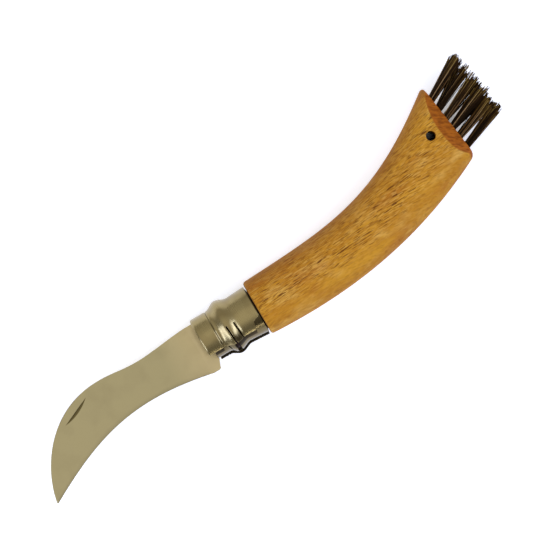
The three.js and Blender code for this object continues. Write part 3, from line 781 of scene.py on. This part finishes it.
handle = skin("beech_handle", rings, 0)
print("handle has", len(rings), "sections")

# %% [markdown]
# The slot in the wood takes the folded blade, so its outline is the blade's own edge turned shut, with
# a little room. A shallow V along the slot breaks its sharp edges, as sandpaper does.

# %% Slot for the folded blade
CLOSED = math.radians(170)
CLEAR, TANG_CLEAR, SLOT_OVERRUN = 0.6, 0.3, 3.0
V_OVER, V_UNDER, V_WIDER, V_END_SHARE, V_STEP_SHARE = 0.3, 1.5, 0.6, 0.9, 0.01
half_slot = BLADE_SLOT / 2


def folded(x, y):
    """Where a point of the open blade goes when the blade is shut."""
    cos, sin = math.cos(CLOSED), math.sin(CLOSED)
    return x * cos - y * sin, x * sin + y * cos


def slot_outline():
    below = -HEEL_DROP - SLOT_OVERRUN
    front = NECK_FRONT - SLOT_OVERRUN
    round_off = TANG_HALF + TANG_CLEAR
    outline = [(front, below), (front, round_off)]
    for turn in steps(math.pi / 2, 12, CLOSED - math.pi / 2):
        outline.append((round_off * math.cos(turn), round_off * math.sin(turn)))
    outline.append(folded(HEEL_TOP + CLEAR, -round_off))
    outline.append(folded(-HEEL_REACH + CLEAR, -HEEL_DROP - CLEAR))
    outline += [folded(p.x, p.y - CLEAR) for p in walk(edge_path(), 40)]
    outline.append(folded(TIP.x - CLEAR, TIP.y - CLEAR))
    end = folded(TIP.x - CLEAR, TIP.y)
    return outline + [(end[0] + CLEAR, below)]


def plate(name, outline, low, high):
    """An outline in x and y, pushed along z."""
    count = len(outline)
    points = [(x, y, z) for z in (low, high) for x, y in outline]
    faces = [tuple(range(count)), tuple(range(2 * count - 1, count - 1, -1))]
    faces += [(j, (j + 1) % count, (j + 1) % count + count, j + count) for j in range(count)]
    piece = new_piece(name, points, faces)
    face_outwards(piece)
    return piece


def slot_break():
    """A V that follows the bottom rail."""
    rings = []
    wide = half_slot + V_WIDER
    for share in steps(0.0, 60, V_END_SHARE):
        here = cubic(bottom_rail, share)
        direction = (cubic(bottom_rail, share + V_STEP_SHARE) - here).normalized()
        outward = Vector((direction.y, -direction.x))
        over, under = here + outward * V_OVER, here - outward * V_UNDER
        rings.append([(over.x, over.y, wide), (under.x, under.y, 0), (over.x, over.y, -wide)])
    return skin("slot_break", rings, 2)


cutters = [plate("blade_slot", slot_outline(), -half_slot, half_slot), slot_break()]
print("slot's outline has", len(slot_outline()), "points")

# %% [markdown]
# The other cuts are drilled: a hole for a lanyard, the rivet's hole and twelve holes for the brush, in
# two rows that splay a little. A frame on the handle's end says where each drill enters and which way
# it points, and the profiles widen at the mouth, where the edge is broken.

# %% Drilled holes
OVERRUN = 1.0
LANYARD_RADIUS, LANYARD_INSET, LANYARD_DROP, LANYARD_BREAK = 1.8, 8.7, 0.5, 0.3
TUFTS, TUFT_PITCH, TUFT_SHIFT, ROW_SPACING = 6, 4.2, 0.7, 4.7
HOLE_RADIUS, HOLE_DEPTH, HOLE_BREAK = 1.45, 5.2, 0.2
LEAN_TOP, LEAN_BOTTOM, SPLAY = 21, 13, 3

end_frame = Matrix(((out_of_end.x, up_end.x, 0, end_centre.x),
                    (out_of_end.y, up_end.y, 0, end_centre.y),
                    (0, 0, 1, 0),
                    (0, 0, 0, 1)))


def tuft_frame(side, number):
    """A tuft's own frame: its x runs out along the bristles, and it starts on the end's face."""
    lean = math.radians(mix(LEAN_BOTTOM, LEAN_TOP, number / (TUFTS - 1)))
    turned = Matrix.Rotation(lean, 4, "Z") @ Matrix.Rotation(math.radians(-side * SPLAY), 4, "Y")
    up = -TUFT_SHIFT + TUFT_PITCH * (number - (TUFTS - 1) / 2)
    return end_frame @ Matrix.Translation((0, up, side * ROW_SPACING / 2)) @ turned


def drilled(name, profile, sides, matrix):
    """A drill's shape: a turned profile along a frame's x axis."""
    return skin(name, turned_rings(profile, sides, lambda *p: tuple(matrix @ Vector(p))), 0)


flank = HANDLE_THICKNESS / 2
lanyard_frame = end_frame @ Matrix.Translation((-LANYARD_INSET, -LANYARD_DROP, 0)) \
    @ Matrix.Rotation(-math.pi / 2, 4, "Y")
lanyard_mouth = LANYARD_RADIUS + LANYARD_BREAK + OVERRUN
lanyard_profile = [(-flank - OVERRUN, lanyard_mouth), (-flank + LANYARD_BREAK, LANYARD_RADIUS),
                   (flank - LANYARD_BREAK, LANYARD_RADIUS), (flank + OVERRUN, lanyard_mouth)]
cutters += [drilled("lanyard_hole", lanyard_profile, 64, lanyard_frame),
            rivet_drill("handle_rivet_hole", PIVOT_HOLE, THROUGH, 32)]
tuft_profile = [(-HOLE_DEPTH, HOLE_RADIUS), (-HOLE_BREAK, HOLE_RADIUS),
                (OVERRUN, HOLE_RADIUS + HOLE_BREAK + OVERRUN)]
for side in (1, -1):
    for number in range(TUFTS):
        cutters.append(drilled(f"tuft_hole_{side}_{number}", tuft_profile, 28, tuft_frame(side, number)))
print("cuts in the handle:", len(cutters))
carve(handle, cutters)
shade(handle, 32)
print("handle has", len(handle.data.polygons), "faces")

# %% [markdown]
# The brush is boar bristle, some eighty to a tuft. Nobody models a thousand bristles by hand, so
# Geometry Nodes plant them: the input is one point for each hole, with the way that its tuft leans,
# and the tree scatters roots in the hole, spreads the tips and gives each bristle its own length, tone
# and bend. Neighbours cling together in clumps, so each clump also shares a length and a bend.

# %% One bristle, inside the tree
BRISTLE_POINTS, BRISTLE_SIDES = 7, 4
TAPER_START, TIP_SHARE = 0.4, 0.7


def bristle_shape(tree, radius):
    """A single tapered bristle along z, one metre long and stretched later, with its share of length."""
    line = add_node(tree, "GeometryNodeCurvePrimitiveLine", {"Start": (0, 0, 0), "End": (0, 0, 1)})
    evened = add_node(tree, "GeometryNodeResampleCurve", {"Curve": line, "Count": BRISTLE_POINTS})
    share = add_node(tree, "GeometryNodeSplineParameter")
    kept = add_node(tree, "GeometryNodeStoreNamedAttribute",
                    {"Geometry": evened, "Name": "along", "Value": share}, data_type="FLOAT",
                    domain="POINT")
    taper = add_node(tree, RANGE, (share, TAPER_START, 1.0, 1.0, TIP_SHARE))
    tapered = add_node(tree, "GeometryNodeSetCurveRadius", {"Curve": kept, "Radius": taper})
    rim = add_node(tree, "GeometryNodeCurvePrimitiveCircle",
                   {"Resolution": BRISTLE_SIDES, "Radius": radius})
    return add_node(tree, "GeometryNodeCurveToMesh",
                    {"Curve": tapered, "Profile Curve": rim, "Fill Caps": True})


print("a bristle has", BRISTLE_POINTS, "rings of", BRISTLE_SIDES, "corners")

# %% [markdown]
# The tree's sizes are named inputs, so that a wider or a longer brush is a change of one number.

# %% The tree and its inputs
BRISTLE_SIZES = {"Root Radius": 1.15, "Tip Radius": 2.15, "Bristle Radius": 0.13, "Length": 17.0,
                 "Length Spread": 0.8, "Clump Length Spread": 1.2, "Root Depth": 4.4, "Bend": 0.35,
                 "Clump Bend": 0.8}
BRISTLE_COUNTS = {"Bristles": 76, "Clumps": 6}

planting = bpy.data.node_groups.new("plant_bristles", "GeometryNodeTree")
sockets = {"Geometry": "NodeSocketGeometry", "Seed": "NodeSocketInt", "Material": "NodeSocketMaterial"}
sockets.update({name: "NodeSocketInt" for name in BRISTLE_COUNTS})
sockets.update({name: "NodeSocketFloat" for name in BRISTLE_SIZES})
for name, kind in sockets.items():
    planting.interface.new_socket(name, in_out="INPUT", socket_type=kind)
planting.interface.new_socket("Geometry", in_out="OUTPUT", socket_type="NodeSocketGeometry")
size = add_node(planting, "NodeGroupInput").outputs
print("inputs:", ", ".join(sockets))

# %% [markdown]
# Each hole's point is copied once for each bristle, and then come the random draws. Each has its own
# seed, counted up from one named seed. Most are drawn for each bristle. A clump is a sector of a tuft,
# numbered by its tuft and by the way that its bristles lie from the middle, and it shares two draws.

# %% Random draws
TUFT_STEP = 100.0

# Lowest and highest value of each draw
EACH_BRISTLE = {"spread": (0.0, 1.0), "turn": (0.0, 2 * math.pi), "length": (-1.0, 1.0),
                "tone": (0.0, 1.0), "bend": ((-1, -1, -1), (1, 1, 1))}
EACH_CLUMP = {"clump length": (-1.0, 1.0), "clump bend": ((-1, -1, -1), (1, 1, 1))}

planted = add_node(planting, "GeometryNodeDuplicateElements",
                   {"Geometry": size["Geometry"], "Amount": size["Bristles"]}, domain="POINT")
kept = {name: add_node(planting, "GeometryNodeInputNamedAttribute", {"Name": name}, data_type=kind)
        for name, kind in (("aim", "FLOAT_VECTOR"), ("tuft", "FLOAT"), ("along", "FLOAT"),
                           ("sway", "FLOAT_VECTOR"))}
own_number = add_node(planting, "GeometryNodeInputIndex")
drawn = {}
for table, number in ((EACH_BRISTLE, own_number), (EACH_CLUMP, None)):
    if number is None:
        sector = add_node(planting, MATH, (drawn["turn"], size["Clumps"]), operation="MULTIPLY")
        sector = add_node(planting, MATH, (sector, 2 * math.pi), operation="DIVIDE")
        sector = add_node(planting, MATH, (sector,), operation="FLOOR")
        number = add_node(planting, MATH, (kept["tuft"], TUFT_STEP, sector), operation="MULTIPLY_ADD")
    for name, (low, high) in table.items():
        seed = add_node(planting, MATH, (size["Seed"], len(drawn) + 1.0), operation="ADD")
        kind = "FLOAT_VECTOR" if isinstance(low, tuple) else "FLOAT"
        drawn[name] = add_node(planting, "FunctionNodeRandomValue",
                               {"Min": low, "Max": high, "ID": number, "Seed": seed},
                               data_type=kind)
print("draws:", ", ".join(drawn))

# %% [markdown]
# A root lies anywhere in its hole and its tip anywhere in a wider circle, on the same side of the
# middle, so a tuft opens like a sheaf. The line from root to tip is all that a bristle needs.

# %% Roots and tips
sideways = add_node(planting, VECTOR, (kept["aim"], (0, 0, 1)), operation="CROSS_PRODUCT")
sideways = add_node(planting, VECTOR, (sideways,), operation="NORMALIZE")
outward = add_node(planting, "ShaderNodeVectorRotate",
                   {"Vector": sideways, "Axis": kept["aim"], "Angle": drawn["turn"]})
spread = add_node(planting, MATH, (drawn["spread"],), operation="SQRT")
outward = add_node(planting, VECTOR, (outward, spread), operation="MULTIPLY")
depth = add_node(planting, VECTOR, (kept["aim"], size["Root Depth"]), operation="MULTIPLY")
root = add_node(planting, VECTOR, (outward, size["Root Radius"]), operation="MULTIPLY")
root = add_node(planting, VECTOR, (root, depth), operation="SUBTRACT")
rooted = add_node(planting, "GeometryNodeSetPosition", {"Geometry": planted, "Offset": root})

length = add_node(planting, MATH, (drawn["length"], size["Length Spread"], size["Length"]),
                  operation="MULTIPLY_ADD")
length = add_node(planting, MATH, (drawn["clump length"], size["Clump Length Spread"], length),
                  operation="MULTIPLY_ADD")
tip = add_node(planting, VECTOR, (kept["aim"], length), operation="MULTIPLY")
tip = add_node(planting, VECTOR, (outward, size["Tip Radius"], tip), operation="MULTIPLY_ADD")
stretch = add_node(planting, VECTOR, (tip, root), operation="SUBTRACT")
print("roots lie", BRISTLE_SIZES["Root Depth"], "mm deep")

# %% [markdown]
# The single bristle is put on each root, then turned and stretched towards its tip. Its bend grows
# with a power of the way along, so that it stays straight in its hole. The last nodes make the
# instances real, because a plain mesh is wanted, and give them their material.

# %% Grow and bend
BEND_POWER = 2.2

turned = add_node(planting, "FunctionNodeAlignRotationToVector", {"Vector": stretch}, axis="Z")
reach = add_node(planting, VECTOR, (stretch,), operation="LENGTH")
scale = add_node(planting, "ShaderNodeCombineXYZ", (1.0, 1.0, reach))
grown = add_node(planting, "GeometryNodeInstanceOnPoints",
                 {"Points": rooted, "Instance": bristle_shape(planting, size["Bristle Radius"]),
                  "Rotation": turned, "Scale": scale})
sway = add_node(planting, VECTOR, (drawn["bend"], size["Bend"]), operation="MULTIPLY")
sway = add_node(planting, VECTOR, (drawn["clump bend"], size["Clump Bend"], sway),
                operation="MULTIPLY_ADD")
for name, kind, value in (("tone", "FLOAT", drawn["tone"]), ("sway", "FLOAT_VECTOR", sway)):
    grown = add_node(planting, "GeometryNodeStoreNamedAttribute",
                     {"Geometry": grown, "Name": name, "Value": value}, data_type=kind,
                     domain="INSTANCE")
real = add_node(planting, "GeometryNodeRealizeInstances", {"Geometry": grown})
strength = add_node(planting, MATH, (kept["along"], BEND_POWER), operation="POWER")
curved = add_node(planting, VECTOR, (kept["sway"], strength), operation="MULTIPLY")
bent = add_node(planting, "GeometryNodeSetPosition", {"Geometry": real, "Offset": curved})
finished = add_node(planting, "GeometryNodeSetMaterial",
                    {"Geometry": bent, "Material": size["Material"]})
add_node(planting, "NodeGroupOutput", {"Geometry": finished})
print("the tree has", len(planting.nodes), "nodes")

# %% [markdown]
# Boar bristle is dark brown to black, with a dull waxy sheen. Old dust and split ends make the tips
# paler, and a few bristles in every tuft are blond. Both come from the attributes that the tree left
# on each bristle: how far along it a point lies, and its own tone.

# %% Bristle material
ROOT_TONES = {0.0: "#140b03", 0.8: "#2c1c0a", 0.9: "#684824", 1.0: "#a5845a"}
TIP_TONES = {0.0: "#1c0f05", 0.62: "#3a250c", 0.85: "#60471a", 1.0: "#94783c"}
WORN_FROM = 0.55


def boar_bristle():
    material, tree, surface = new_material("boar_bristle")
    tone = add_node(tree, "ShaderNodeAttribute", attribute_name="tone").outputs["Fac"]
    share = add_node(tree, "ShaderNodeAttribute", attribute_name="along").outputs["Fac"]
    ends = []
    for stops in (ROOT_TONES, TIP_TONES):
        node = add_node(tree, "ShaderNodeValToRGB", (tone,))
        ramp = node.color_ramp
        ramp.elements.remove(ramp.elements[1])
        ramp.elements[0].color = paint(stops[0.0])
        for position, colour in list(stops.items())[1:]:
            ramp.elements.new(position).color = paint(colour)
        ends.append(node)
    worn = add_node(tree, RANGE, (share, WORN_FROM, 1.0), interpolation_type="SMOOTHSTEP")
    colour = add_node(tree, MIX, (worn, *ends), data_type="RGBA")
    shader = add_node(tree, "ShaderNodeBsdfPrincipled",
                      {"Base Color": colour, "Roughness": 0.7, "Specular IOR Level": 0.04})
    tree.links.new(shader.outputs[0], surface)
    return material


bristle_material = boar_bristle()
print("material:", bristle_material.name)

# %% [markdown]
# The same tree plants both rows. Its inputs are set by their identifiers before Blender evaluates the
# object for the first time, and the result is turned into plain mesh. Used tufts no longer stand quite
# straight in their holes, so each one sways a little to its own side.

# %% Plant the two rows
NEAR_SWAY = (0.02, -0.04, -0.015, -0.005, -0.03, -0.005)
FAR_SWAY = (0.02, -0.04, -0.16, -0.13, 0.1, -0.02)


def plant_row(name, side, seed, sways):
    mesh = bpy.data.meshes.new(name)
    frames = [tuft_frame(side, number) for number in range(TUFTS)]
    mesh.from_pydata([spot(*matrix.translation) for matrix in frames], [], [])
    for attribute, kind in (("aim", "FLOAT_VECTOR"), ("tuft", "FLOAT")):
        mesh.attributes.new(attribute, kind, "POINT")
    for i, matrix in enumerate(frames):
        aim = matrix.to_3x3() @ Vector((1, sways[i], 0)).normalized()
        mesh.attributes["aim"].data[i].vector = aim
        mesh.attributes["tuft"].data[i].value = i
    row = bpy.data.objects.new(name, mesh)
    modifier = row.modifiers.new("plant", "NODES")
    modifier.node_group = planting
    identifiers = {item.name: item.identifier for item in planting.interface.items_tree
                   if item.in_out == "INPUT"}
    values = {socket: value * MM for socket, value in BRISTLE_SIZES.items()}
    values.update(BRISTLE_COUNTS, Seed=seed, Material=bristle_material)
    for socket, value in values.items():
        modifier[identifiers[socket]] = value
    bpy.context.scene.collection.objects.link(row)
    settle(row)
    shade(row, 60)
    print(name, "has", len(row.data.polygons), "faces")
    return row


near_row = plant_row("near_bristles", 1, 11, NEAR_SWAY)
far_row = plant_row("far_bristles", -1, 47, FAR_SWAY)

# %% [markdown]
# Beech is pale to honey coloured and even, and what tells it apart are its rays: short dark dashes
# along the grain. The pattern is a solid one, in the wood itself, so that the bevels cut it as a saw
# would: along the flanks it shows dashes, and on the cut end it shows dots. Real rays are about 0.1 mm
# wide and pores half of that, less than half a pixel, so both are drawn 0.3 mm wide.

# %% The pattern in the beech
GRAIN_RISE, RADIAL_TILT = 2.8, -32.0
WOOD = "#c48b24"

# Each layer of the solid wood: the length, width and depth of its lumps in millimetres, its detail,
# where in the noise it starts and is full, its strength, its colour, and whether it is a ray, which
# shows only where a flank lies across the rays
WOOD_LAYERS = {
    "bands": ((60.0, 2.6, 5.2), 3.0, (0.3, 0.7), 0.65, "#aa6d17", False),
    "clouds": ((14.0, 6.0, 6.0), 3.0, (0.48, 0.75), 0.85, "#d2a24b", False),
    "warm patches": ((22.0, 7.0, 7.0), 2.0, (0.5, 0.72), 0.6, "#a25d18", False),
    "mottle": ((2.4, 1.0, 1.0), 2.0, (0.42, 0.68), 0.35, "#9c6116", False),
    "pale dashes": ((3.6, 0.34, 1.6), 1.0, (0.5, 0.66), 0.4, "#d8ab54", True),
    "pores": ((2.6, 0.36, 1.2), 1.0, (0.48, 0.66), 0.6, "#834e0d", True),
    "rays": ((4.4, 0.32, 2.5), 1.0, (0.6, 0.67), 0.9, "#5f3103", True),
}
END_TONES = ("#a85d13", "#834305")
END_LUMPS = ((8.0, 0.6, 2.4), 3.0, (0.35, 0.65))

# How much the rays show as a face turns across them: from, to, strength there, strength here
ACROSS_THE_RAYS = (0.5, 0.9, 0.2, 1.0)

beech, tree, surface = new_material("varnished_beech")
place = add_node(tree, COORDINATES).outputs
facing = add_node(tree, AXES, (place["Normal"],)).outputs
tilt = math.radians(RADIAL_TILT)
radial = add_node(tree, VECTOR, (place["Normal"], (0.0, -math.sin(tilt), math.cos(tilt))),
                  operation="DOT_PRODUCT")
radial = add_node(tree, MATH, (radial,), operation="ABSOLUTE")
crossed = add_node(tree, RANGE, (radial, *ACROSS_THE_RAYS), interpolation_type="SMOOTHSTEP")

shares = {}
layers = {**WOOD_LAYERS, "end": (*END_LUMPS, 1.0, END_TONES[1], False)}
for name, (lumps, detail, (start, full), strength, tone, is_ray) in layers.items():
    stretched = add_node(tree, "ShaderNodeMapping",
                         {"Vector": place["Object"], "Scale": Vector(lumps) * MM,
                          "Rotation": (tilt, 0, math.radians(GRAIN_RISE))}, vector_type="TEXTURE")
    noise = add_node(tree, NOISE, {"Vector": stretched, "Scale": 1.0, "Detail": detail})
    share = add_node(tree, RANGE, (noise, start, full, 0.0, strength),
                     interpolation_type="SMOOTHSTEP")
    if is_ray:
        share = add_node(tree, MATH, (share, crossed), operation="MULTIPLY")
    shares[name] = share
print("layers of the wood:", ", ".join(shares))

# %% [markdown]
# The layers tint the wood one over the other. The cut end is darker and redder, because end grain
# drinks more varnish. Faces turned towards the spine get a painted shade, and the neck inside the
# collar is painted as dark as the shade in the gap behind the ring. The varnish is a worn satin: it
# deepens the wood's colour and reflects nothing sharply.

# %% Tones and varnish
# The spine's tone is a painted shade for faces turned towards the spine.
SPINE_SIDE_SHADE, NECK_SHADE = "#8f5516", "#2c1206"
NECK_SHADE_FADE, RAY_RELIEF = 0.4, 0.05
VARNISH_ROUGHNESS, PORE_ROUGHNESS = 0.68, 0.8

# How much of a tone shows as a face turns its way: from, to, strength there, strength here
TOWARDS_THE_SPINE, TOWARDS_THE_END = (0.35, 1.0, 0.0, 0.55), (0.35, 0.75, 0.0, 1.0)

body = paint(WOOD)
for name, (*_, tone, _) in WOOD_LAYERS.items():
    body = add_node(tree, MIX, (shares[name], body, paint(tone)), data_type="RGBA")
end_tone = add_node(tree, MIX, (shares["end"], *map(paint, END_TONES)), data_type="RGBA")
# The wood along the neck inside the collar gets a painted shade, as dark as the gap behind the ring.
lengthwise = add_node(tree, AXES, (place["Object"],)).outputs["X"]
neck_end = pivot.x + SHOULDER * MM
covers = (((facing["Y"], *TOWARDS_THE_SPINE), paint(SPINE_SIDE_SHADE)),
          ((facing["X"], *TOWARDS_THE_END), end_tone),
          ((lengthwise, neck_end, neck_end + NECK_SHADE_FADE * MM, 1.0, 0.0), paint(NECK_SHADE)))
for values, tone in covers:
    share = add_node(tree, RANGE, values, interpolation_type="SMOOTHSTEP")
    body = add_node(tree, MIX, (share, body, tone), data_type="RGBA")

roughness = add_node(tree, RANGE, (shares["pores"], 0.0, 1.0, VARNISH_ROUGHNESS, PORE_ROUGHNESS))
height = add_node(tree, MATH, (shares["rays"], shares["pores"]), operation="ADD")
relief = add_node(tree, "ShaderNodeBump", {"Height": height, "Strength": 0.25,
                                           "Distance": -RAY_RELIEF * MM})
shader = add_node(tree, "ShaderNodeBsdfPrincipled",
                  {"Base Color": body, "Roughness": roughness, "Specular IOR Level": 0.12,
                   "Normal": relief})
tree.links.new(shader.outputs[0], surface)
handle.data.materials.append(beech)
print("rays are", WOOD_LAYERS["rays"][0][0], "mm long in the pattern")

# %% [markdown]
# The steels are one alloy with different finishes. Stainless steel is a grey metal, and here it has
# the warm tone of the room around it. The blade is belt-ground to a satin, whose fine lines across it
# spread its reflections, so it shows one soft tone. The sleeves are barrel-polished and keep sharp,
# bright streaks, and handling leaves their steel browner in patches. Belt lines are about 0.03 mm
# apart, too fine to show, so they are drawn 0.12 mm apart here.

# %% Steels
TARNISH, TARNISH_SIZE, TARNISHED = "#6a5634", 7.0, (0.45, 0.75)
WEAR_ROUGHNESS, SCRATCH_DEPTH = 0.08, 0.02


def stainless(name, tones, share, roughness, lines, line_size, relief, tarnish=0.0):
    """Stainless steel between two tones. lines is how much the roughness varies along fine lines.

    share builds the share of the second tone from the tree and the place in millimetres, and tarnish
    is the greatest share of the patches that handling leaves."""
    material, tree, surface = new_material(name)
    place = add_node(tree, COORDINATES).outputs["Object"]
    apart, long = (1 / (size * MM) for size in line_size)
    drawn = add_node(tree, "ShaderNodeMapping", {"Vector": place, "Scale": (apart, long, long)})
    scratches = add_node(tree, NOISE, {"Vector": drawn, "Scale": 1.0, "Detail": 3.0})
    wear = add_node(tree, NOISE, {"Vector": place, "Scale": 1 / (TARNISH_SIZE * MM), "Detail": 2.0})
    smoothest = roughness - (lines + WEAR_ROUGHNESS) / 2
    rough = add_node(tree, MATH, (scratches, lines, smoothest), operation="MULTIPLY_ADD")
    rough = add_node(tree, MATH, (wear, WEAR_ROUGHNESS, rough), operation="MULTIPLY_ADD")
    bump = add_node(tree, "ShaderNodeBump", {"Height": scratches, "Strength": relief,
                                             "Distance": SCRATCH_DEPTH * MM})
    colour = paint(tones[0])
    if share:
        arm = add_node(tree, VECTOR, (place, pivot), operation="SUBTRACT")
        arm = add_node(tree, VECTOR, (arm, (1 / MM, 1 / MM, 1 / MM)), operation="MULTIPLY")
        sides = add_node(tree, AXES, (arm,)).outputs
        colour = add_node(tree, MIX, (share(tree, sides), *map(paint, tones)), data_type="RGBA")
    if tarnish:
        worn = add_node(tree, RANGE, (wear, *TARNISHED, 0.0, tarnish))
        colour = add_node(tree, MIX, (worn, colour, paint(TARNISH)), data_type="RGBA")
    shader = add_node(tree, "ShaderNodeBsdfPrincipled",
                      {"Base Color": colour, "Metallic": 1.0, "Roughness": rough, "Normal": bump})
    tree.links.new(shader.outputs[0], surface)
    return material


def unground(tree, sides):
    """The ricasso, which the belt hasn't ground, is brighter than the ground face."""
    return add_node(tree, RANGE, (sides["X"], RICASSO - PLUNGE, RICASSO))


blade_finish = stainless("satin_ground_stainless", ("#a89b72", "#bcaa7e"), unground, 0.36, 0.12,
                         (0.12, 6.0), 0.12, 0.12)
blade.data.materials.append(blade_finish)
wire_finish = stainless("drawn_steel_wire", ("#9a9a98",), None, 0.42, 0.1, (0.1, 2.0), 0.1)
print("blade and wire have their steel")

# %% [markdown]
# Painted shade stands where the ring's edge runs over the collar, weaker over a stretch in the middle
# and fainter in the rear notch, and on the ring's tongue towards its free end. The sheared faces beside
# the slot are painted dark as shade, which makes the bright parts beside them look polished.

# %% Sleeve finishes and painted shade
SHADE_ANGLES, SHADE_FADE, NOTCH_SHADE_TURN = (31, 34), 0.2, 24
NOTCH_SHADE, MIDDLE_SHADE, TONGUE_SHADE = 0.3, 0.25, 0.75
LESS_SHADED = (-6.9, -2.9)
TONGUE_ANGLES, TONGUE_SIDE = (60, 76), 0.3
SHEARED_FACING = 0.9


def distance_from(tree, sides, first, last):
    """How far along the collar a place lies from the middle of a stretch, and half the stretch."""
    beside = add_node(tree, MATH, (sides["X"], (first + last) / 2), operation="SUBTRACT")
    return add_node(tree, MATH, (beside,), operation="ABSOLUTE"), (last - first) / 2


def degrees_round(tree, sides):
    """How far round the collar a place lies from the edge side, on either flank."""
    across = add_node(tree, MATH, (sides["Y"], -1.0), operation="MULTIPLY")
    turn = add_node(tree, MATH, (sides["Z"], across), operation="ARCTAN2")
    turn = add_node(tree, MATH, (turn,), operation="DEGREES")
    return add_node(tree, MATH, (turn,), operation="ABSOLUTE")


# A painted shade on the collar under the ring's edge, weaker in the middle stretch and fainter in the
# notch.
def collar_edge_shade(tree, sides):
    notch = (sides["X"], NOTCH_START, NOTCH_START + SHADE_FADE)
    turn = add_node(tree, RANGE, (*notch, 0.0, NOTCH_SHADE_TURN))
    turn = add_node(tree, MATH, (degrees_round(tree, sides), turn), operation="SUBTRACT")
    beside, half = distance_from(tree, sides, *LESS_SHADED)
    lighter_middle = add_node(tree, RANGE, (beside, half - SHADE_FADE, half + SHADE_FADE, MIDDLE_SHADE, 1.0))
    share = add_node(tree, RANGE, (*notch, 1.0, NOTCH_SHADE))
    share = add_node(tree, MATH, (share, lighter_middle), operation="MULTIPLY")
    return add_node(tree, RANGE, (turn, *SHADE_ANGLES, 0.0, share), interpolation_type="SMOOTHSTEP")


# A painted shade on the ring's tongue, darkest towards its free end.
def tongue_end_shade(tree, sides):
    beside, half = distance_from(tree, sides, SLITS[0][1] + SLIT_LEAN, SLITS[1][0] + SLIT_LEAN)
    inside = add_node(tree, RANGE, (beside, half, half + TONGUE_SIDE, TONGUE_SHADE, 0.0))
    low = add_node(tree, RANGE, (degrees_round(tree, sides), *TONGUE_ANGLES, 1.0, 0.0),
                   interpolation_type="SMOOTHSTEP")
    return add_node(tree, MATH, (inside, low), operation="MULTIPLY")


# The ring's second tone is a painted shade at the tongue's free end.
ring_finish = stainless("polished_stainless", ("#96865b", "#3a3020"), tongue_end_shade, 0.28, 0.06,
                        (0.3, 3.0), 0.025, 0.45)
lock_ring.data.materials.append(ring_finish)
# The collar's second tone is a painted shade.
collar_finish = stainless("pressed_stainless", ("#6f6242", "#2c2416"), collar_edge_shade, 0.26, 0.08,
                          (0.3, 3.0), 0.05, 0.3)
collar.data.materials.append(collar_finish)
# The sheared faces get a dark steel that is a painted shade for the slot's edges.
sheared = stainless("sheared_edge_shade", ("#2a241a",), None, 0.5, 0.1, (0.2, 1.0), 0.2)
for piece in (lock_ring, collar):
    piece.data.materials.append(sheared)
    for face in piece.data.polygons:
        arm = face.center - pivot
        round_the_collar = Vector((0, -arm.z, arm.y)).normalized()
        if abs(face.normal.dot(round_the_collar)) > SHEARED_FACING:
            face.material_index = 1
print("sheared faces:", sum(face.material_index for face in lock_ring.data.polygons))

# %% [markdown]
# The nail nick is milled after the blade's faces are ground, so it has a duller floor. Its steep wall
# on the spine's side faces away from the light and is painted dark as shade.

# %% Milled nick
STEEP, LEVEL = 0.7, 0.99
NICK_REACH_SHARE = 0.52

# The second tone is a painted shade for the nick's steep wall.
for name, tone in (("milled_stainless", "#685b38"), ("milled_wall_shade", "#281f0c")):
    blade.data.materials.append(stainless(name, (tone,), None, 0.45, 0.1, (0.2, 1.0), 0.2))
nick_centre = spot(nick_middle.x, nick_middle.y, BLADE_HALF)
for face in blade.data.polygons:
    near = (face.center - nick_centre).length < NICK_REACH_SHARE * NICK_LENGTH * MM
    if near and face.center.z > pivot.z and face.normal.z < LEVEL:
        face.material_index = 1 if face.normal.z > STEEP else 2
print("milled faces:", sum(face.material_index > 0 for face in blade.data.polygons))

# %% [markdown]
# The rivet and the wire staples are carried over from the construction model. Their shapes are right
# as they are, so they only get a finish.

# %% Finishes for the pieces that stay
carried = {"pivot_rivet": collar_finish}
carried.update({name: wire_finish for name in frame["nodes"] if name.startswith("tuft_anchor")})
for name, material in carried.items():
    materials = frame["nodes"][name].data.materials
    materials.clear()
    materials.append(material)
print("finishes on", len(carried), "carried pieces")

# %% [markdown]
# Last, each piece is tied to the body that it moves with, and the solid that it stands for is
# hidden. The blade folds, the ring turns, and everything else belongs to the handle.

# %% Tie the pieces to the bodies
pieces = [
    (handle, "handle", "beech", ["handle"]),
    (collar, "handle", "collar_steel", ["fixed_collar"]),
    (near_row, "handle", "bristle", ["bristle_row_near"]),
    (far_row, "handle", "bristle", ["bristle_row_far"]),
    (lock_ring, "lock_ring", "ring_steel", ["lock_ring"]),
    (blade, "blade", "blade_steel", ["blade"]),
]
for piece, body, slot, nodes in pieces:
    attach(piece, body)
    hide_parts(*nodes)
    print(piece.name, "rides on", body)
